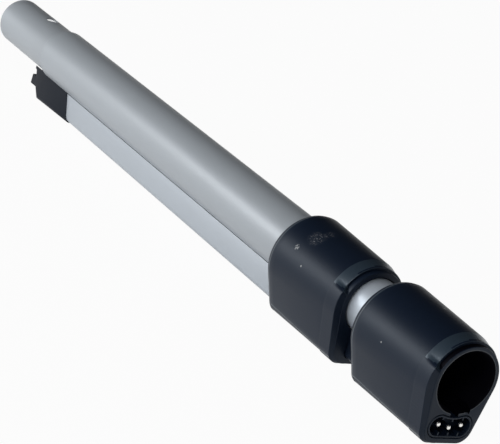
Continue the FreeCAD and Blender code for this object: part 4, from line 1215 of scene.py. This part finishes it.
place(plug, "nozzle_section", plug_plastic, "plug_housing")

# %% [markdown]
# The curly lead lies hidden in the channel and the conduit, and it stretches as the wand grows.
# A spiral and a small circle swept along it make the coil.

# %% Curly lead
LEAD_REAR = -478
LEAD_FRONT = -28
LEAD_MARGIN = 2
LEAD_DOWN = 26.5
LEAD_RADIUS = 5.1
WIRE_RADIUS = 1.4
TURNS = 128.0


def coil_tree(material):
    """A tree that sweeps a small circle along a spiral that lies along the wand."""
    tree, inside, outside = new_tree("curly_lead", "Geometry", {
        "Turns": 10.0,
        "Coil Radius": 0.004,
        "Wire Radius": 0.001,
        "Length": 0.1,
        "Start": (0.0, 0.0, 0.0),
    }, {"Geometry": "Geometry"})
    spiral = add_node(tree, "CurveSpiral", {
        "Resolution": 14, "Rotations": inside["Turns"], "Start Radius": inside["Coil Radius"],
        "End Radius": inside["Coil Radius"], "Height": inside["Length"],
    })["Curve"]
    laid = add_node(tree, "Transform", {
        "Geometry": spiral, "Translation": inside["Start"], "Rotation": (0, math.pi / 2, 0),
    })["Geometry"]
    circle = {"Resolution": 8, "Radius": inside["Wire Radius"]}
    wire = add_node(tree, "CurvePrimitiveCircle", circle)["Curve"]
    sweep = {"Curve": laid, "Profile Curve": wire, "Fill Caps": True}
    hand_out(tree, add_node(tree, "CurveToMesh", sweep)["Mesh"], material, outside)
    return tree


coil = grow("lead_coil", coil_tree(lead_rubber), {
    "Turns": TURNS,
    "Coil Radius": (LEAD_RADIUS - WIRE_RADIUS) * MM,
    "Wire Radius": WIRE_RADIUS * MM,
    "Length": (LEAD_FRONT - LEAD_REAR - 2 * LEAD_MARGIN) * MM,
    "Start": ((LEAD_REAR + LEAD_MARGIN) * MM, 0, -LEAD_DOWN * MM),
})
dress(coil, lead_rubber, 60)
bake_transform(coil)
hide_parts("curly_lead")
print("the lead has", len(coil.data.polygons), "faces")

# %% [markdown]
# The small inner pieces keep their solids, which are already turned shapes, and only get their
# finish: felt, natural plastic, zinc steel or nickelled brass.

# %% Finishes of the carried-over pieces
CARRIED = {
    felt: ("seal_ring",),
    guide_plastic: ("front_guide", "rear_glide_ring"),
    zinc_steel: (
        "lock_pin", "rocker_pivot", "rocker_spring", "contact_screw", "collar_screws", "plug_screw",
    ),
    contact_metal: ("plug_sleeve_1", "plug_sleeve_2", "plug_sleeve_3"),
}
for material, names in CARRIED.items():
    for name in names:
        dress(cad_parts[name], material)
print("gave a finish to", sum(len(names) for names in CARRIED.values()), "solids")

# %% [markdown]
# A pale floor carries the wand. The camera and the reflections see it almost pure white, with a
# trace of the wand's shadow, and the soft light that it throws back comes from its plain grey.

# %% Floor
FLOOR_SIZE = 12.0
FLOOR_WHITE_SHARE = 0.96
FLOOR_GREY = (0.6, 0.6, 0.6, 1)
WHITE = (1, 1, 1, 1)
half = FLOOR_SIZE / 2
level = cad_low.z
floor_mesh = bpy.data.meshes.new("floor")
floor_mesh.from_pydata(
    [(-half, -half, level), (half, -half, level), (half, half, level), (-half, half, level)],
    [], [(0, 1, 2, 3)],
)
floor = new_piece("floor", floor_mesh)
floor_paint = bpy.data.materials.new("floor_paint")
floor_paint.use_nodes = True
tree = floor_paint.node_tree
paint = tree.nodes["Principled BSDF"]
feed(tree, paint.inputs, {"Base Color": FLOOR_GREY, "Roughness": 0.9})
seen_white = add_node(tree, "Emission", {"Color": WHITE})["Emission"]
ray = add_node(tree, "LightPath", {})
shown = math_node(tree, "MAXIMUM", ray["Is Camera Ray"], ray["Is Glossy Ray"])
shown = math_node(tree, "MAXIMUM", shown, ray["Is Transmission Ray"])
share = math_node(tree, "MULTIPLY", shown, FLOOR_WHITE_SHARE)
mixed = add_node(tree, "MixShader", {
    "Fac": share, 1: paint.outputs["BSDF"], 2: seen_white,
})["Shader"]
feed(tree, tree.nodes["Material Output"].inputs, {"Surface": mixed})
floor.data.materials.append(floor_paint)

# %% [markdown]
# The world is a white horizon under a dark ceiling: the camera sees white everywhere, reflections
# see white near the horizon, and the light that fills the shadows is a fraction of it. The dark
# ceiling is what leaves the tops of the black collars black.

# %% World
HORIZON = 0.0
CEILING = 0.24
CEILING_LIGHT = 0.02
FILL = 0.35
world = bpy.data.worlds.new("studio")
world.use_nodes = True
tree = world.node_tree
direction = add_node(tree, "TexCoord", {})["Generated"]
height = add_node(tree, "SeparateXYZ", {0: direction})["Z"]
fade = add_node(tree, "MapRange", {
    "From Min": HORIZON, "From Max": CEILING, "To Min": 1.0, "To Max": CEILING_LIGHT,
    "Value": height,
}, interpolation_type="SMOOTHSTEP")["Result"]
ray = add_node(tree, "LightPath", {})
level_of_fill = math_node(tree, "MULTIPLY_ADD", ray["Is Glossy Ray"], 1 - FILL, FILL)
strength = math_node(tree, "MULTIPLY", fade, level_of_fill)
shown = math_node(tree, "MAXIMUM", ray["Is Camera Ray"], ray["Is Transmission Ray"])
strength = math_node(tree, "MAXIMUM", strength, shown)
feed(tree, tree.nodes["Background"].inputs, {"Color": WHITE, "Strength": strength})
scene.world = world

# %% [markdown]
# The lamps are large and soft. The key stands low on the near side, beyond the nozzle end, so it
# rakes along the wand. A weak lamp in front fills the lip, another fills the far side, and a small
# high one shows the bevels.

# %% Lamps
def soft_lamp(name, place_at, aim, width, height, power):
    lamp = bpy.data.lights.new(name, "AREA")
    lamp.shape = "RECTANGLE"
    lamp.size = width
    lamp.size_y = height
    lamp.energy = power
    item = new_piece(name, lamp)
    item.location = place_at
    toward = Vector(aim) - Vector(place_at)
    item.rotation_euler = toward.to_track_quat("-Z", "Y").to_euler()


soft_lamp("key_box", (-0.95, -1.55, 0.36), (-0.35, 0, 0), 2.0, 0.6, 26)
soft_lamp("front_fill", (1.6, -0.5, 0.3), (0, 0, 0), 0.9, 0.9, 3)
soft_lamp("back_fill", (-0.3, 1.7, 0.4), (-0.3, 0, 0), 1.6, 0.8, 6)
soft_lamp("bevel_box", (0.63, -1.1, 1.12), (-0.05, 0, 0), 0.5, 0.3, 6)
scene.view_settings.view_transform = "Standard"
print("the scene has", len(bpy.data.lights), "lamps")
